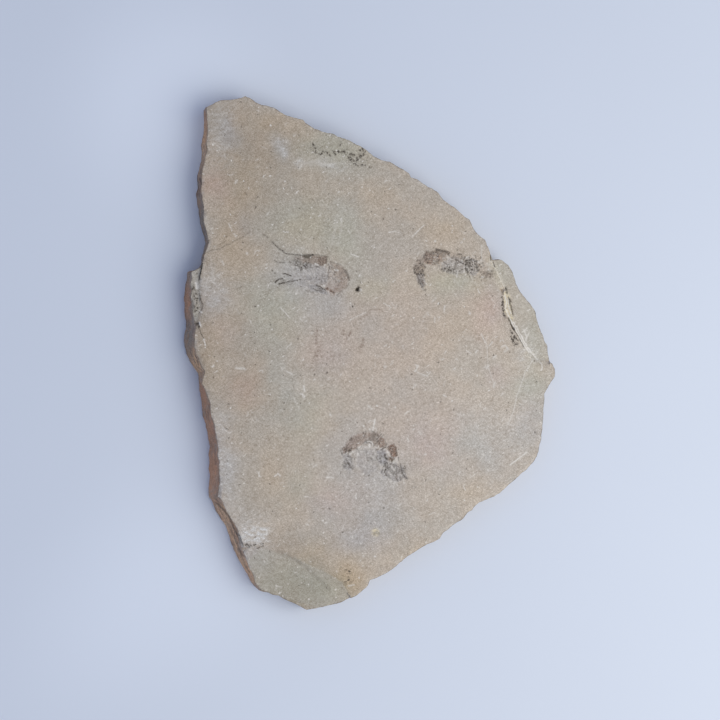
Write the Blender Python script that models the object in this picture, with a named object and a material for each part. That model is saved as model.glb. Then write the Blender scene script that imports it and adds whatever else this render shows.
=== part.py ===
"""A broken plate of platy limestone with three small curled shrimps on its upper face.

The plate lies flat on its underside. X runs across the plate and Y along it, with
+Z up out of the fossil face. The origin is at the middle of the underside.
Lengths in this file are written in millimetres and turned into metres by MM.
"""
import math
import random

import bmesh
import bpy
from mathutils import Matrix, Vector

MM = 0.001

# ---- driving dimensions (mm) ----
PLATE_THICK = 10.0          # from the underside to the fossil face
RIM_STEP = 2.4              # spacing of the points along the broken edge
CHIP_DEPTH = 0.33           # how far small fractures move the broken edge in or out
BED_STEP = 0.45             # how far one bed of the stone stands out past the next
FILM_GAP = 0.3              # clearance between a fossil and the face that carries it
SHELL_THICK = 0.42          # thickness of a fossil's carapace
PLATE_SEGMENT_THICK = 0.34  # thickness of one plate of the abdomen
LIMB_THICK = 0.26           # thickness of legs, feelers and tail blades
LIMB_WIDTH = 0.55           # width of a leg where it leaves the body
FEELER_WIDTH = 0.45         # width of a feeler
LAYER_RISE = 0.008          # each part of a fossil lies this much above the one before
ABDOMEN_PLATES = 6          # plates of the abdomen behind the carapace
CUTTER_HEIGHT = 8.0         # how far a ledge's cutter reaches up from the ledge's floor
SEED = 7

# Break line of the fossil face, clockwise from the upper left corner:
# x, y, and how far the foot of the broken edge stands out past it.
RIM = [
    (-58.0, 85.0, 0.3), (-56.0, 86.0, 0.2), (-53.5, 87.5, 0.0), (-48.0, 88.0, 0.2),
    (-44.5, 89.2, 0.0), (-41.0, 87.2, 0.3), (-34.5, 85.3, 0.0), (-29.0, 82.5, 0.3),
    (-24.5, 81.5, 0.0), (-22.5, 79.7, 0.2), (-17.8, 77.7, 0.0), (-14.0, 76.9, 0.3),
    (-8.2, 74.8, 0.2), (-1.5, 71.0, 0.0), (0.7, 69.0, 0.3), (6.4, 67.5, 0.0),
    (13.2, 63.6, 0.3), (14.0, 62.2, 0.0), (21.8, 58.2, 0.2), (27.6, 53.0, 0.0),
    (32.0, 49.7, 0.3), (35.2, 47.4, 0.0), (38.2, 42.1, 0.3), (40.7, 40.4, 0.0),
    (42.5, 36.5, 0.2), (43.6, 33.3, 0.0), (46.8, 33.5, 0.3), (49.6, 31.5, 0.0),
    (51.9, 27.2, 0.2), (53.4, 23.0, 0.0), (56.9, 18.7, 0.3), (59.2, 16.2, 0.0),
    (60.7, 10.8, 0.2), (64.1, 3.0, 0.0), (64.9, -2.6, 0.3), (66.4, -5.4, 0.0),
    (66.4, -8.2, 0.0), (63.8, -11.8, 0.3), (62.4, -14.3, 0.2), (62.0, -23.6, 0.0),
    (61.2, -30.7, 0.3), (59.8, -36.7, 0.0), (56.1, -41.0, 0.3), (49.8, -46.2, 0.0),
    (46.2, -49.4, 0.3), (38.9, -52.5, 0.0), (34.2, -56.3, 0.3), (32.3, -58.7, 0.0),
    (25.5, -63.2, 0.2), (24.4, -65.0, 0.0), (17.5, -68.4, 0.3), (11.1, -72.5, 0.0),
    (4.6, -77.4, 0.3), (-0.7, -79.2, 0.2), (-1.5, -81.3, 0.0), (-3.9, -83.4, 0.3),
    (-10.7, -86.9, 0.0), (-17.8, -88.4, 0.3), (-23.0, -89.2, 0.0), (-27.9, -86.6, 0.3),
    (-32.8, -84.1, 0.0), (-38.8, -82.2, 0.4), (-40.9, -79.2, 1.0), (-43.7, -71.4, 2.6),
    (-47.1, -61.3, 2.8), (-51.6, -53.2, 2.8), (-53.7, -49.4, 2.7), (-53.5, -40.1, 2.8),
    (-54.4, -29.7, 2.0), (-56.5, -19.4, 2.2), (-58.3, -12.5, 1.4), (-59.6, -10.4, 0.2),
    (-58.5, -6.3, 1.8), (-60.6, -2.2, 2.4), (-62.1, 3.0, 2.8), (-61.6, 8.9, 2.8),
    (-62.8, 15.1, 2.6), (-63.0, 21.9, 1.6), (-63.0, 28.1, 0.8), (-60.2, 29.7, 0.5),
    (-58.3, 35.1, 0.3), (-57.3, 38.2, 0.5), (-58.9, 45.4, 0.8), (-58.9, 50.2, 1.0),
    (-59.9, 56.4, 1.0), (-59.6, 62.6, 1.0), (-57.7, 70.2, 1.0), (-57.5, 77.1, 0.6),
]

# The broken edge from the fossil face down: height above the underside, the share of
# the foot's spread reached there, and which bed of the stone the level belongs to.
LEVELS = [
    (PLATE_THICK, 0.0, 0), (7.4, 0.3, 0), (7.1, 0.3, 1), (4.7, 0.65, 1),
    (4.4, 0.65, 2), (1.3, 1.0, 2), (0.0, 0.85, 3),
]

# Outlines of what has broken away from the fossil face: three ledges, a bevel and a facet.
RIGHT_LEDGE = [
    (42.2, 35.2), (44.4, 30.5), (48.0, 23.1), (50.6, 12.1), (52.4, 7.8), (54.3, 3.2),
    (58.3, -2.2), (64.6, -3.2), (72.0, -2.0), (70.0, 20.0), (58.0, 38.0), (46.0, 42.0),
]
BOTTOM_LEDGE = [
    (-44.5, -67.0), (-38.8, -67.3), (-34.2, -67.7), (-29.0, -70.3), (-23.7, -72.8),
    (-16.7, -76.1), (-11.4, -79.0), (-9.6, -82.5), (-6.5, -86.5), (-12.0, -96.0),
    (-40.0, -94.0), (-48.0, -80.0),
]
LEFT_CHIP = [
    (-59.3, 33.0), (-59.6, 29.5), (-60.6, 25.4), (-60.2, 18.5), (-59.6, 16.4),
    (-60.6, 13.0), (-61.8, 9.0), (-68.0, 9.0), (-68.0, 33.0),
]
LOWER_LEFT_BEVEL = [
    (-46.4, -62.5), (-45.0, -66.5), (-40.8, -77.0), (-45.0, -84.0), (-54.0, -70.0),
    (-52.0, -60.0),
]
SMALL_FACET = [(-56.5, -44.0), (-52.6, -45.8), (-52.8, -50.8), (-56.5, -53.0)]

# Line of the eroded vein along the right ledge, and single pits: x, y, radius, depth.
VEIN_LINE = [(47.3, 23.2), (48.0, 19.4), (48.9, 15.2), (50.1, 11.6), (51.2, 8.8)]
VEIN_WIDTH = 1.1
VEIN_DEPTH = 1.2
PITS = [(-5.2, 22.5, 0.75, 0.9), (-61.2, 10.4, 0.8, 1.1), (-44.3, 55.4, 0.45, 0.4)]

# ---- fossils (mm) ----
UPPER_LEFT = {
    "shell": [
        (-26.0, 34.7), (-20.9, 34.8), (-15.6, 34.0), (-15.2, 31.7), (-16.0, 28.5),
        (-18.5, 25.4), (-22.7, 25.2), (-26.0, 26.4), (-27.6, 29.8), (-28.4, 32.6),
    ],
    "back": [
        (-15.6, 33.9), (-13.5, 32.2), (-11.4, 31.4), (-9.6, 29.7), (-8.2, 27.2),
        (-8.2, 24.4), (-9.3, 22.7), (-11.0, 21.4), (-13.5, 20.6),
    ],
    "belly": [
        (-17.0, 30.6), (-15.8, 29.2), (-14.7, 28.2), (-13.9, 26.8), (-13.8, 25.4),
        (-14.3, 24.6), (-14.8, 24.1), (-15.2, 23.6), (-15.8, 23.2),
    ],
    "tail_root": (-14.9, 22.0),
    "tail_tips": [(-21.1, 23.7), (-21.4, 22.3), (-19.9, 20.8)],
    "tail_width": 1.5,
    "legs": [
        [(-24.6, 29.6), (-27.6, 31.2), (-29.3, 31.7), (-32.1, 31.7), (-34.2, 32.5)],
        [(-21.3, 25.9), (-24.8, 25.9), (-27.2, 25.5), (-29.3, 25.1), (-32.8, 24.4)],
        [(-24.6, 26.9), (-29.0, 27.0), (-30.7, 26.4), (-32.4, 25.9), (-34.2, 24.9)],
        [(-28.6, 27.1), (-30.0, 27.9), (-31.4, 27.7)],
    ],
    "feelers": [
        [(-25.0, 34.2), (-28.6, 34.6), (-31.1, 35.4), (-32.5, 36.4), (-35.3, 38.8), (-38.1, 41.3)],
    ],
}
UPPER_RIGHT = {
    "shell": [
        (24.8, 36.7), (27.6, 35.9), (32.3, 34.7), (35.2, 33.6), (38.9, 31.2),
        (38.7, 29.0), (35.2, 28.2), (30.9, 28.7), (26.5, 29.0), (24.4, 31.7),
    ],
    "back": [
        (26.2, 36.7), (22.9, 36.9), (20.4, 36.0), (17.9, 34.2), (16.1, 32.4),
        (15.2, 30.2), (15.4, 27.8), (16.2, 25.4), (17.3, 23.6),
    ],
    "belly": [
        (25.5, 31.2), (22.9, 31.3), (20.9, 31.0), (19.5, 30.2), (18.8, 28.9),
        (18.7, 27.4), (18.8, 26.2), (18.9, 25.0), (19.1, 23.8),
    ],
    "tail_root": (18.1, 24.6),
    "tail_tips": [(18.0, 20.4), (19.5, 20.8)],
    "tail_width": 1.3,
    "legs": [
        [(33.7, 29.4), (34.2, 28.0), (34.7, 26.9)],
        [(36.6, 29.4), (37.2, 27.9), (38.3, 26.6)],
    ],
    "feelers": [
        [(38.0, 30.2), (41.1, 29.1), (43.0, 28.1)],
        [(37.6, 29.6), (40.6, 27.6), (42.0, 27.0)],
    ],
}
LOWER = {
    "shell": [
        (3.6, -33.0), (5.7, -31.8), (7.8, -31.3), (8.5, -33.4), (9.4, -35.5),
        (9.0, -37.2), (7.6, -38.7), (5.2, -38.7), (3.4, -37.2), (2.6, -34.8),
    ],
    "back": [
        (5.2, -31.9), (4.3, -29.9), (2.8, -28.1), (0.0, -27.0), (-3.2, -27.4),
        (-5.7, -28.1), (-7.8, -29.8), (-9.9, -32.4), (-10.7, -34.8),
    ],
    "belly": [
        (3.5, -34.8), (2.1, -33.0), (0.5, -31.7), (-1.1, -31.0), (-2.9, -31.1),
        (-4.6, -32.2), (-5.8, -33.3), (-6.8, -34.3), (-7.6, -35.4),
    ],
    "tail_root": (-8.9, -34.4),
    "tail_tips": [(-9.6, -40.0), (-6.9, -40.6)],
    "tail_width": 1.3,
    "legs": [
        [(4.8, -37.0), (4.9, -39.0), (4.9, -40.8), (3.5, -41.9)],
        [(6.4, -37.8), (7.3, -41.0), (6.4, -43.9)],
        [(7.2, -37.6), (8.9, -41.5), (10.0, -44.3)],
    ],
    "feelers": [
        [(7.6, -37.2), (10.0, -39.4), (11.1, -42.2), (12.6, -43.8)],
    ],
}

for leftover in list(bpy.data.objects):
    bpy.data.objects.remove(leftover, do_unlink=True)


def collection(name):
    """A collection in the scene, one for the pieces and one for the cutters."""
    made = bpy.data.collections.new(name)
    bpy.context.scene.collection.children.link(made)
    return made


PIECES = collection("fossil_shrimp")
CUTTERS = collection("cutters")


def material(name, colour, roughness):
    """A Principled material with one colour and no metal in it."""
    made = bpy.data.materials.new(name)
    made.use_nodes = True
    shader = made.node_tree.nodes["Principled BSDF"]
    shader.inputs["Base Color"].default_value = (*colour, 1.0)
    shader.inputs["Roughness"].default_value = roughness
    shader.inputs["Metallic"].default_value = 0.0
    return made


LIMESTONE = material("grey_beige_limestone", (0.39, 0.34, 0.30), 0.9)
SHELL_BROWN = material("brown_shell_film", (0.27, 0.20, 0.16), 0.75)


def outline_solid(name, points, low, high, home):
    """A flat outline (mm) extruded from height low to height high, as a closed mesh."""
    curve = bpy.data.curves.new(name, "CURVE")
    curve.dimensions = "2D"
    curve.fill_mode = "BOTH"
    curve.extrude = (high - low) / 2 * MM
    spline = curve.splines.new("POLY")
    spline.points.add(len(points) - 1)
    for control, (x, y) in zip(spline.points, points):
        control.co = (x * MM, y * MM, 0.0, 1.0)
    spline.use_cyclic_u = True
    drawn = bpy.data.objects.new(name + "_outline", curve)
    drawn.location.z = (low + high) / 2 * MM
    home.objects.link(drawn)
    bpy.context.view_layer.update()
    mesh = bpy.data.meshes.new_from_object(
        drawn.evaluated_get(bpy.context.evaluated_depsgraph_get()))
    mesh.transform(drawn.matrix_world)
    bpy.data.objects.remove(drawn, do_unlink=True)
    weld_and_face_out(mesh)
    solid = bpy.data.objects.new(name, mesh)
    home.objects.link(solid)
    return solid


def weld_and_face_out(mesh):
    """Join the caps of an extruded outline to its sides and turn every face outward."""
    work = bmesh.new()
    work.from_mesh(mesh)
    bmesh.ops.remove_doubles(work, verts=work.verts, dist=1e-7)
    bmesh.ops.recalc_face_normals(work, faces=work.faces)
    work.to_mesh(mesh)
    work.free()


def boolean(target, other, operation):
    """Add an exact Boolean of another object to the target."""
    step = target.modifiers.new(operation.lower() + "_" + other.name, "BOOLEAN")
    step.operation = operation
    step.solver = "EXACT"
    step.object = other


def hide_cutter(cutter):
    """Mark an object as a guide that is not part of the piece."""
    cutter.display_type = "WIRE"
    cutter.hide_render = True


# ---- the plate ----

def broken_rim():
    """The break line as evenly spaced points with small fractures between the corners."""
    rng = random.Random(SEED)
    points = []
    for (x, y, foot), (x2, y2, foot2) in zip(RIM, RIM[1:] + RIM[:1]):
        run = math.hypot(x2 - x, y2 - y)
        pieces = max(1, round(run / RIM_STEP))
        outward = Vector(((y - y2) / run, (x2 - x) / run))
        for i in range(pieces):
            share = i / pieces
            shift = 0.0 if i == 0 else rng.uniform(-CHIP_DEPTH, CHIP_DEPTH)
            place = Vector((x + (x2 - x) * share, y + (y2 - y) * share)) + outward * shift
            points.append((place, foot + (foot2 - foot) * share))
    return points


def outward_normals(points):
    """Unit vectors that point out of the plate at each rim point."""
    normals = []
    for i, (here, _) in enumerate(points):
        before = points[i - 3][0]
        after = points[(i + 3) % len(points)][0]
        run = (after - before).normalized()
        normals.append(Vector((-run.y, run.x)))
    return normals


def bed_bulges(bed, count):
    """How far one bed of the stone stands out at each rim point: slow waves and small fractures."""
    if bed == 0:
        return [0.0] * count
    rng = random.Random(SEED * 100 + bed)
    bulges = [rng.uniform(-0.5, 0.5) for _ in range(count)]
    for _ in range(5):
        waves_round = rng.randint(5, 23)
        phase = rng.uniform(0, 2 * math.pi)
        size = rng.uniform(0.15, 0.35)
        for i in range(count):
            bulges[i] += size * math.sin(2 * math.pi * waves_round * i / count + phase)
    return [BED_STEP * bulge for bulge in bulges]


def build_plate():
    """Loft the broken edge through its beds and close it with two flat faces."""
    rim = broken_rim()
    normals = outward_normals(rim)
    count = len(rim)
    work = bmesh.new()
    rings = []
    for height, share, bed in LEVELS:
        ring = []
        for (place, foot), normal, bulge in zip(rim, normals, bed_bulges(bed, count)):
            corner = place + normal * (foot * share + bulge)
            ring.append(work.verts.new((corner.x * MM, corner.y * MM, height * MM)))
        rings.append(ring)
    work.faces.new(rings[0])
    work.faces.new(rings[-1])
    for upper, lower in zip(rings, rings[1:]):
        for i in range(count):
            j = (i + 1) % count
            work.faces.new((upper[i], upper[j], lower[j], lower[i]))
    bmesh.ops.recalc_face_normals(work, faces=work.faces)
    bmesh.ops.triangulate(work, faces=work.faces)
    mesh = bpy.data.meshes.new("limestone_slab")
    work.to_mesh(mesh)
    work.free()
    slab = bpy.data.objects.new("limestone_slab", mesh)
    PIECES.objects.link(slab)
    slab.data.materials.append(LIMESTONE)
    return slab


def ledge(slab, name, outline, depth, pivot, falls_to, slope):
    """Break a ledge out of the fossil face.

    Its floor lies at this depth (mm) at the pivot, and slopes down (degrees) in the
    direction falls_to, counted anticlockwise from +X (degrees).
    """
    cutter = outline_solid(name, outline, 0.0, CUTTER_HEIGHT, CUTTERS)
    direction = math.radians(falls_to)
    axis = Vector((-math.sin(direction), math.cos(direction), 0.0))
    hinge = Vector((pivot[0] * MM, pivot[1] * MM, 0.0))
    tilt = Matrix.Rotation(math.radians(slope), 4, axis)
    lift = Matrix.Translation((0.0, 0.0, (PLATE_THICK - depth) * MM))
    cutter.matrix_world = lift @ Matrix.Translation(hinge) @ tilt @ Matrix.Translation(-hinge)
    hide_cutter(cutter)
    boolean(slab, cutter, "DIFFERENCE")


def strip(points, width_start, width_end):
    """The outline of a tapering strip that follows a line of points."""
    line = [Vector(p) for p in points]
    left = []
    right = []
    for i, here in enumerate(line):
        before = line[max(i - 1, 0)]
        after = line[min(i + 1, len(line) - 1)]
        run = (after - before).normalized()
        half = (width_start + (width_end - width_start) * i / (len(line) - 1)) / 2
        side = Vector((-run.y, run.x)) * half
        left.append(here + side)
        right.append(here - side)
    return [tuple(p) for p in left + right[::-1]]


def pit(slab, number, x, y, radius, depth):
    """A small hole in the fossil face, half as wide at its floor as at its mouth."""
    work = bmesh.new()
    bmesh.ops.create_cone(work, cap_ends=True, segments=7, radius1=radius * 0.5 * MM,
                          radius2=radius * 1.5 * MM, depth=depth * 2 * MM)
    mesh = bpy.data.meshes.new(f"pit_{number}")
    work.to_mesh(mesh)
    work.free()
    cutter = bpy.data.objects.new(f"pit_{number}", mesh)
    cutter.location = (x * MM, y * MM, PLATE_THICK * MM)
    CUTTERS.objects.link(cutter)
    hide_cutter(cutter)
    boolean(slab, cutter, "DIFFERENCE")


# ---- the fossils ----

def abdomen_plates(back, belly):
    """Outlines of the plates between the back and the belly, each tucked under the one before."""
    spans = len(back) - 1
    lap = 0.25      # share of a plate's length that lies over the next plate
    tuck = 0.14     # how much narrower a plate is at its front than at its rear

    def along(line, share):
        place = min(max(share, 0.0), 1.0) * spans
        i = min(int(place), spans - 1)
        return Vector(line[i]).lerp(Vector(line[i + 1]), place - i)

    for n in range(ABDOMEN_PLATES):
        start = n / ABDOMEN_PLATES
        end = (n + 1 + lap) / ABDOMEN_PLATES
        middle = (start + end) / 2
        spine = along(back, middle)
        keel = along(belly, middle)
        front_spine = along(back, start).lerp(along(belly, start), tuck)
        front_keel = along(belly, start).lerp(along(back, start), tuck)
        yield [tuple(p) for p in (front_spine, spine.lerp(keel, -0.06), along(back, end),
                                  along(belly, end), keel.lerp(spine, -0.04), front_keel)]


def tail_blade(root, tip, width):
    """A pointed blade of the tail fan."""
    start = Vector(root)
    run = Vector(tip) - start
    side = Vector((-run.y, run.x)).normalized() * width / 2
    return [tuple(p) for p in (start - side * 0.5, start + run * 0.6 - side, start + run * 0.95 - side * 0.5,
                               start + run, start + run * 0.85 + side * 0.7, start + side * 0.5)]


def fossil(name, plan):
    """One shrimp: its shell with the abdomen, tail, legs and feelers joined to it."""
    bottom = PLATE_THICK + FILM_GAP
    body = outline_solid(name, plan["shell"], bottom, bottom + SHELL_THICK, PIECES)
    body.data.materials.append(SHELL_BROWN)
    flat_parts = []
    for n, outline in enumerate(abdomen_plates(plan["back"], plan["belly"])):
        flat_parts.append((f"plate_{n}", outline, PLATE_SEGMENT_THICK - 0.03 * (n % 2)))
    for n, tip in enumerate(plan["tail_tips"]):
        outline = tail_blade(plan["tail_root"], tip, plan["tail_width"])
        flat_parts.append((f"tail_{n}", outline, LIMB_THICK + 0.02 * n))
    for n, line in enumerate(plan["legs"]):
        flat_parts.append((f"leg_{n}", strip(line, LIMB_WIDTH, LIMB_WIDTH * 0.7), LIMB_THICK - 0.01 * n))
    for n, line in enumerate(plan["feelers"]):
        flat_parts.append((f"feeler_{n}", strip(line, FEELER_WIDTH, FEELER_WIDTH * 0.8), LIMB_THICK))
    for n, (part_name, outline, thick) in enumerate(flat_parts, 1):
        rise = n * LAYER_RISE
        part = outline_solid(f"{name}_{part_name}", outline, bottom + rise, bottom + rise + thick, CUTTERS)
        hide_cutter(part)
        boolean(body, part, "UNION")
    return body


def centre_on_underside(pieces):
    """Move everything so that the origin is at the middle of the plate's underside."""
    bpy.context.view_layer.update()
    shaped = pieces[0].evaluated_get(bpy.context.evaluated_depsgraph_get())
    corners = [v.co for v in shaped.data.vertices]
    middle_x = (min(c.x for c in corners) + max(c.x for c in corners)) / 2
    middle_y = (min(c.y for c in corners) + max(c.y for c in corners)) / 2
    shift = Matrix.Translation((-middle_x, -middle_y, 0.0))
    for item in list(PIECES.objects) + list(CUTTERS.objects):
        item.matrix_world = shift @ item.matrix_world
    print(f"moved by {-middle_x / MM:.3f}, {-middle_y / MM:.3f} mm")


slab = build_plate()
ledge(slab, "right_ledge", RIGHT_LEDGE, 0.5, (50.6, 12.1), 20.0, 8.0)
ledge(slab, "bottom_ledge", BOTTOM_LEDGE, 0.6, (-23.7, -72.8), -120.0, 2.0)
ledge(slab, "left_chip", LEFT_CHIP, 0.5, (-61.0, 18.0), 95.0, 1.6)
ledge(slab, "lower_left_bevel", LOWER_LEFT_BEVEL, 0.5, (-45.4, -66.1), 200.0, 24.0)
ledge(slab, "small_facet", SMALL_FACET, 0.1, (-53.0, -47.0), 180.0, 35.0)
vein = outline_solid("vein", strip(VEIN_LINE, VEIN_WIDTH, VEIN_WIDTH * 0.6),
                     PLATE_THICK - VEIN_DEPTH, PLATE_THICK + CUTTER_HEIGHT, CUTTERS)
hide_cutter(vein)
boolean(slab, vein, "DIFFERENCE")
for pit_number, (pit_x, pit_y, pit_radius, pit_depth) in enumerate(PITS):
    pit(slab, pit_number, pit_x, pit_y, pit_radius, pit_depth)

fossils = [
    fossil("shrimp_upper_left", UPPER_LEFT),
    fossil("shrimp_upper_right", UPPER_RIGHT),
    fossil("shrimp_lower", LOWER),
]
centre_on_underside([slab] + fossils)
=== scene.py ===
# %% [markdown]
# # A plate of limestone with three fossil shrimps
#
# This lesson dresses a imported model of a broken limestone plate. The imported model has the
# true sizes. Here it gets what makes it look like stone: a cracked rim, thin beds in the
# broken edge, chalky scratches, and three shrimps pressed flat in the rock.
# The frame is loaded first, because every later step measures it instead of guessing.

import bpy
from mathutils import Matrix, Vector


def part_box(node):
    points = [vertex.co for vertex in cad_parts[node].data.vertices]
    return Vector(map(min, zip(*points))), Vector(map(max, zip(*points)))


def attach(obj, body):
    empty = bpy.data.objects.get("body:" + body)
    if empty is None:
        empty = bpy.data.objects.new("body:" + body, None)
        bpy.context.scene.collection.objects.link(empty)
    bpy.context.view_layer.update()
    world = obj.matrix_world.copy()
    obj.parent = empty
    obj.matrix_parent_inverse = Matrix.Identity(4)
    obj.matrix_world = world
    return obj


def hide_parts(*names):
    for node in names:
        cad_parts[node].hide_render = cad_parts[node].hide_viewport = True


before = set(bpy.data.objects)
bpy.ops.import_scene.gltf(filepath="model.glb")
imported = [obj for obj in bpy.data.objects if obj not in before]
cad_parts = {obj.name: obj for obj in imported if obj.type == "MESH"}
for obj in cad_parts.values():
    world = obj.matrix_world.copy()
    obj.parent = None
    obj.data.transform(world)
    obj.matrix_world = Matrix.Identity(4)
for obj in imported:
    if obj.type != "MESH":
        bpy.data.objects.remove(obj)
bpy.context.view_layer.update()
print("nodes:", sorted(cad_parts))

# %% Tools for the lesson
import math

import bmesh
import bpy
import numpy as np
from mathutils import Matrix, Vector, geometry, noise
from mathutils.bvhtree import BVHTree

MM = 0.001
UP = Vector((0.0, 0.0, 1.0))
SLAB = "limestone_slab"
plate_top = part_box(SLAB)[1]
FACE = plate_top.z / MM
print(f"the fossil face is {FACE:.2f} mm above the underside")

# %% [markdown]
# ## The eye
#
# A small flat thing is usually looked at from almost straight above, from a little over
# half a metre. The eye here leans ten degrees to the left, so the left edge of the plate
# shows and the right one hides. We set the eye first, since it also lets us place marks
# by where they are seen: a ray from the eye through a point of the view meets the face.

# %% Place the eye
EYE_DISTANCE = 600.0
EYE_LEAN = math.radians(10.0)
AIM = np.array([-5.174, -2.144, FACE])
VIEW_SIZE = 720.0
SENSOR = 36.0
LENS = 85.714
FOCAL = LENS / SENSOR * VIEW_SIZE
eye_axis = np.array([-math.sin(EYE_LEAN), 0.0, math.cos(EYE_LEAN)])
eye_right = np.array([math.cos(EYE_LEAN), 0.0, math.sin(EYE_LEAN)])
eye_up = np.array([0.0, 1.0, 0.0])
eye = AIM + EYE_DISTANCE * eye_axis

lens = bpy.data.cameras.new("eye")
lens.sensor_width = SENSOR
lens.lens = LENS
lens.clip_start = 0.01
lens.clip_end = 20.0
camera = bpy.data.objects.new("eye", lens)
bpy.context.scene.collection.objects.link(camera)
turn = Matrix((eye_right, eye_up, eye_axis)).transposed().to_4x4()
camera.matrix_world = Matrix.Translation(Vector(eye * MM)) @ turn
bpy.context.scene.camera = camera
print("eye at", [round(float(v), 1) for v in eye], "mm")

# %% Turn places in the view into millimetres on the face
def on_face(*places):
    """Millimetres on the fossil face for places (u, v) of a view 720 units wide."""
    uv = np.array(places, float).reshape(-1, 2)
    slope = (uv[:, 0] - VIEW_SIZE / 2) / FOCAL
    drop = (uv[:, 1] - VIEW_SIZE / 2) / FOCAL
    x = slope * EYE_DISTANCE / (math.cos(EYE_LEAN) - slope * math.sin(EYE_LEAN))
    y = -drop * (EYE_DISTANCE + x * math.sin(EYE_LEAN))
    return np.stack([x, y], 1) + AIM[:2]


def seen_on_face(points):
    """Where the eye sees each point (mm) against the fossil face, in millimetres."""
    ray = points - eye
    reach = (FACE - eye[2]) / ray[:, 2]
    return (eye + ray * reach[:, None])[:, :2]


UNIT = float(np.linalg.norm(on_face((361, 360)) - on_face((360, 360))))
print(f"one unit of the view is {UNIT:.3f} mm on the face")

# %% [markdown]
# ## The plate as a measured solid
#
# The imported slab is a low, faceted solid. A ray tree lets us ask it for the height under
# any point and for the place of its broken edge at any height. That keeps the dressed
# plate on the true sizes, while the new mesh is free to be as fine as stone needs.

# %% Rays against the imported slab
def ray_tree(name):
    """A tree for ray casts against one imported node, in millimetres."""
    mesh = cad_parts[name].data
    corners = [v.co / MM for v in mesh.vertices]
    return BVHTree.FromPolygons(corners, [tuple(p.vertices) for p in mesh.polygons])


slab_tree = ray_tree(SLAB)
ABOVE = FACE + 10.0


def height_under(x, y):
    """Height (mm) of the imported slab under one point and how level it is, or None outside it."""
    place, normal, _, _ = slab_tree.ray_cast(Vector((x, y, ABOVE)), -UP)
    return None if place is None else (place.z, normal.z)


print("height at the middle:", height_under(0.0, 0.0))

# %% Smooth random values
SEED_SHIFT = 17.3
SEED_LIFT = 5.1


def ripple(points, size, seed=0.0):
    """Smooth random values, about -1 to 1, that change over `size` mm."""
    shift = SEED_SHIFT * seed
    lift = SEED_LIFT * seed
    return np.array([noise.noise((x / size + shift, y / size - shift, z / size + lift))
                     for x, y, z in points])


def flat3(points):
    """Points of the plane with a third coordinate of zero."""
    return np.column_stack([points, np.zeros(len(points))])


def ease(value, low, high):
    """0 below low, 1 above high and a smooth step between."""
    t = np.clip((value - low) / (high - low), 0.0, 1.0)
    return t * t * (3.0 - 2.0 * t)


print("a few ripples:", ripple([(0.5, 0.5, 0.0), (2.5, 0.5, 0.0), (4.5, 0.5, 0.0)], 2.0).round(2))

# %% [markdown]
# ## The line of the broken edge
#
# Stone that breaks across its beds leaves a rim with small bites and steps. The rim is
# read from the solid: a cut just under the lowest ledge gives one closed line all round,
# and from each station of that line a row of rays finds the last flat bit of the face.

# %% Cut the solid to get one closed line
CUT_HEIGHT = 7.45
STATION = 0.45


def section_line(height):
    """The closed outline (mm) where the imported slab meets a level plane."""
    cutting = bmesh.new()
    cutting.from_mesh(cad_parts[SLAB].data)
    bmesh.ops.remove_doubles(cutting, verts=cutting.verts, dist=1e-7)
    cut = bmesh.ops.bisect_plane(cutting, geom=cutting.verts[:] + cutting.edges[:] + cutting.faces[:],
                                 plane_co=(0, 0, height * MM), plane_no=UP,
                                 clear_outer=True, clear_inner=True)
    edges = [g for g in cut["geom_cut"] if isinstance(g, bmesh.types.BMEdge)]
    links = {}
    for edge in edges:
        for here, there in (edge.verts[:], edge.verts[:][::-1]):
            links.setdefault(here, []).append(there)
    loops = []
    walked = set()
    for start in links:
        line = []
        ahead = [start]
        while ahead and ahead[0] not in walked:
            walked.add(ahead[0])
            line.append(ahead[0])
            ahead = [v for v in links[ahead[0]] if v not in walked]
        loops.append(np.array([v.co.xy for v in line]).reshape(-1, 2) / MM)
    cutting.free()
    return max(loops, key=len)


def resample(line, spacing):
    """The closed line with evenly spaced points, anticlockwise."""
    area = 0.5 * np.sum(line[:, 0] * np.roll(line[:, 1], -1) - np.roll(line[:, 0], -1) * line[:, 1])
    if area < 0:
        line = line[::-1]
    closed = np.vstack([line, line[:1]])
    gone = np.concatenate([[0.0], np.cumsum(np.linalg.norm(np.diff(closed, axis=0), axis=1))])
    stops = np.linspace(0.0, gone[-1], int(gone[-1] / spacing), endpoint=False)
    return np.stack([np.interp(stops, gone, closed[:, k]) for k in (0, 1)], 1)


stations = resample(section_line(CUT_HEIGHT), STATION)
print(len(stations), "stations round the edge")

# %% Which way is out, at each station
SMOOTH_STATIONS = 5


def outward_of(line):
    """Unit directions that point out of an anticlockwise closed line, smoothed along it."""
    along = np.roll(line, -1, 0) - np.roll(line, 1, 0)
    out = np.stack([along[:, 1], -along[:, 0]], 1)
    spread = range(-SMOOTH_STATIONS, SMOOTH_STATIONS + 1)
    out = sum(np.roll(out, k, 0) for k in spread)
    return out / np.linalg.norm(out, axis=1)[:, None]


outward = outward_of(stations)
print("the first station faces", outward[0].round(2))

# %% Find the rim of the face at each station
STEP_BACK = 2.6
STEP = 0.1
FLAT_ENOUGH = 0.7


def rim_height(station, out):
    """Height (mm) of the face where it ends at this station."""
    found = FACE
    for k in range(int(STEP_BACK / STEP)):
        place = station + out * (k * STEP - STEP_BACK)
        under = height_under(*place)
        if under is None:
            break
        height, upright = under
        if upright > FLAT_ENOUGH:
            found = height
    return found


rim_top = np.array([rim_height(s, o) for s, o in zip(stations, outward)])
print(f"the rim lies between {rim_top.min():.2f} and {rim_top.max():.2f} mm high")

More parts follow.
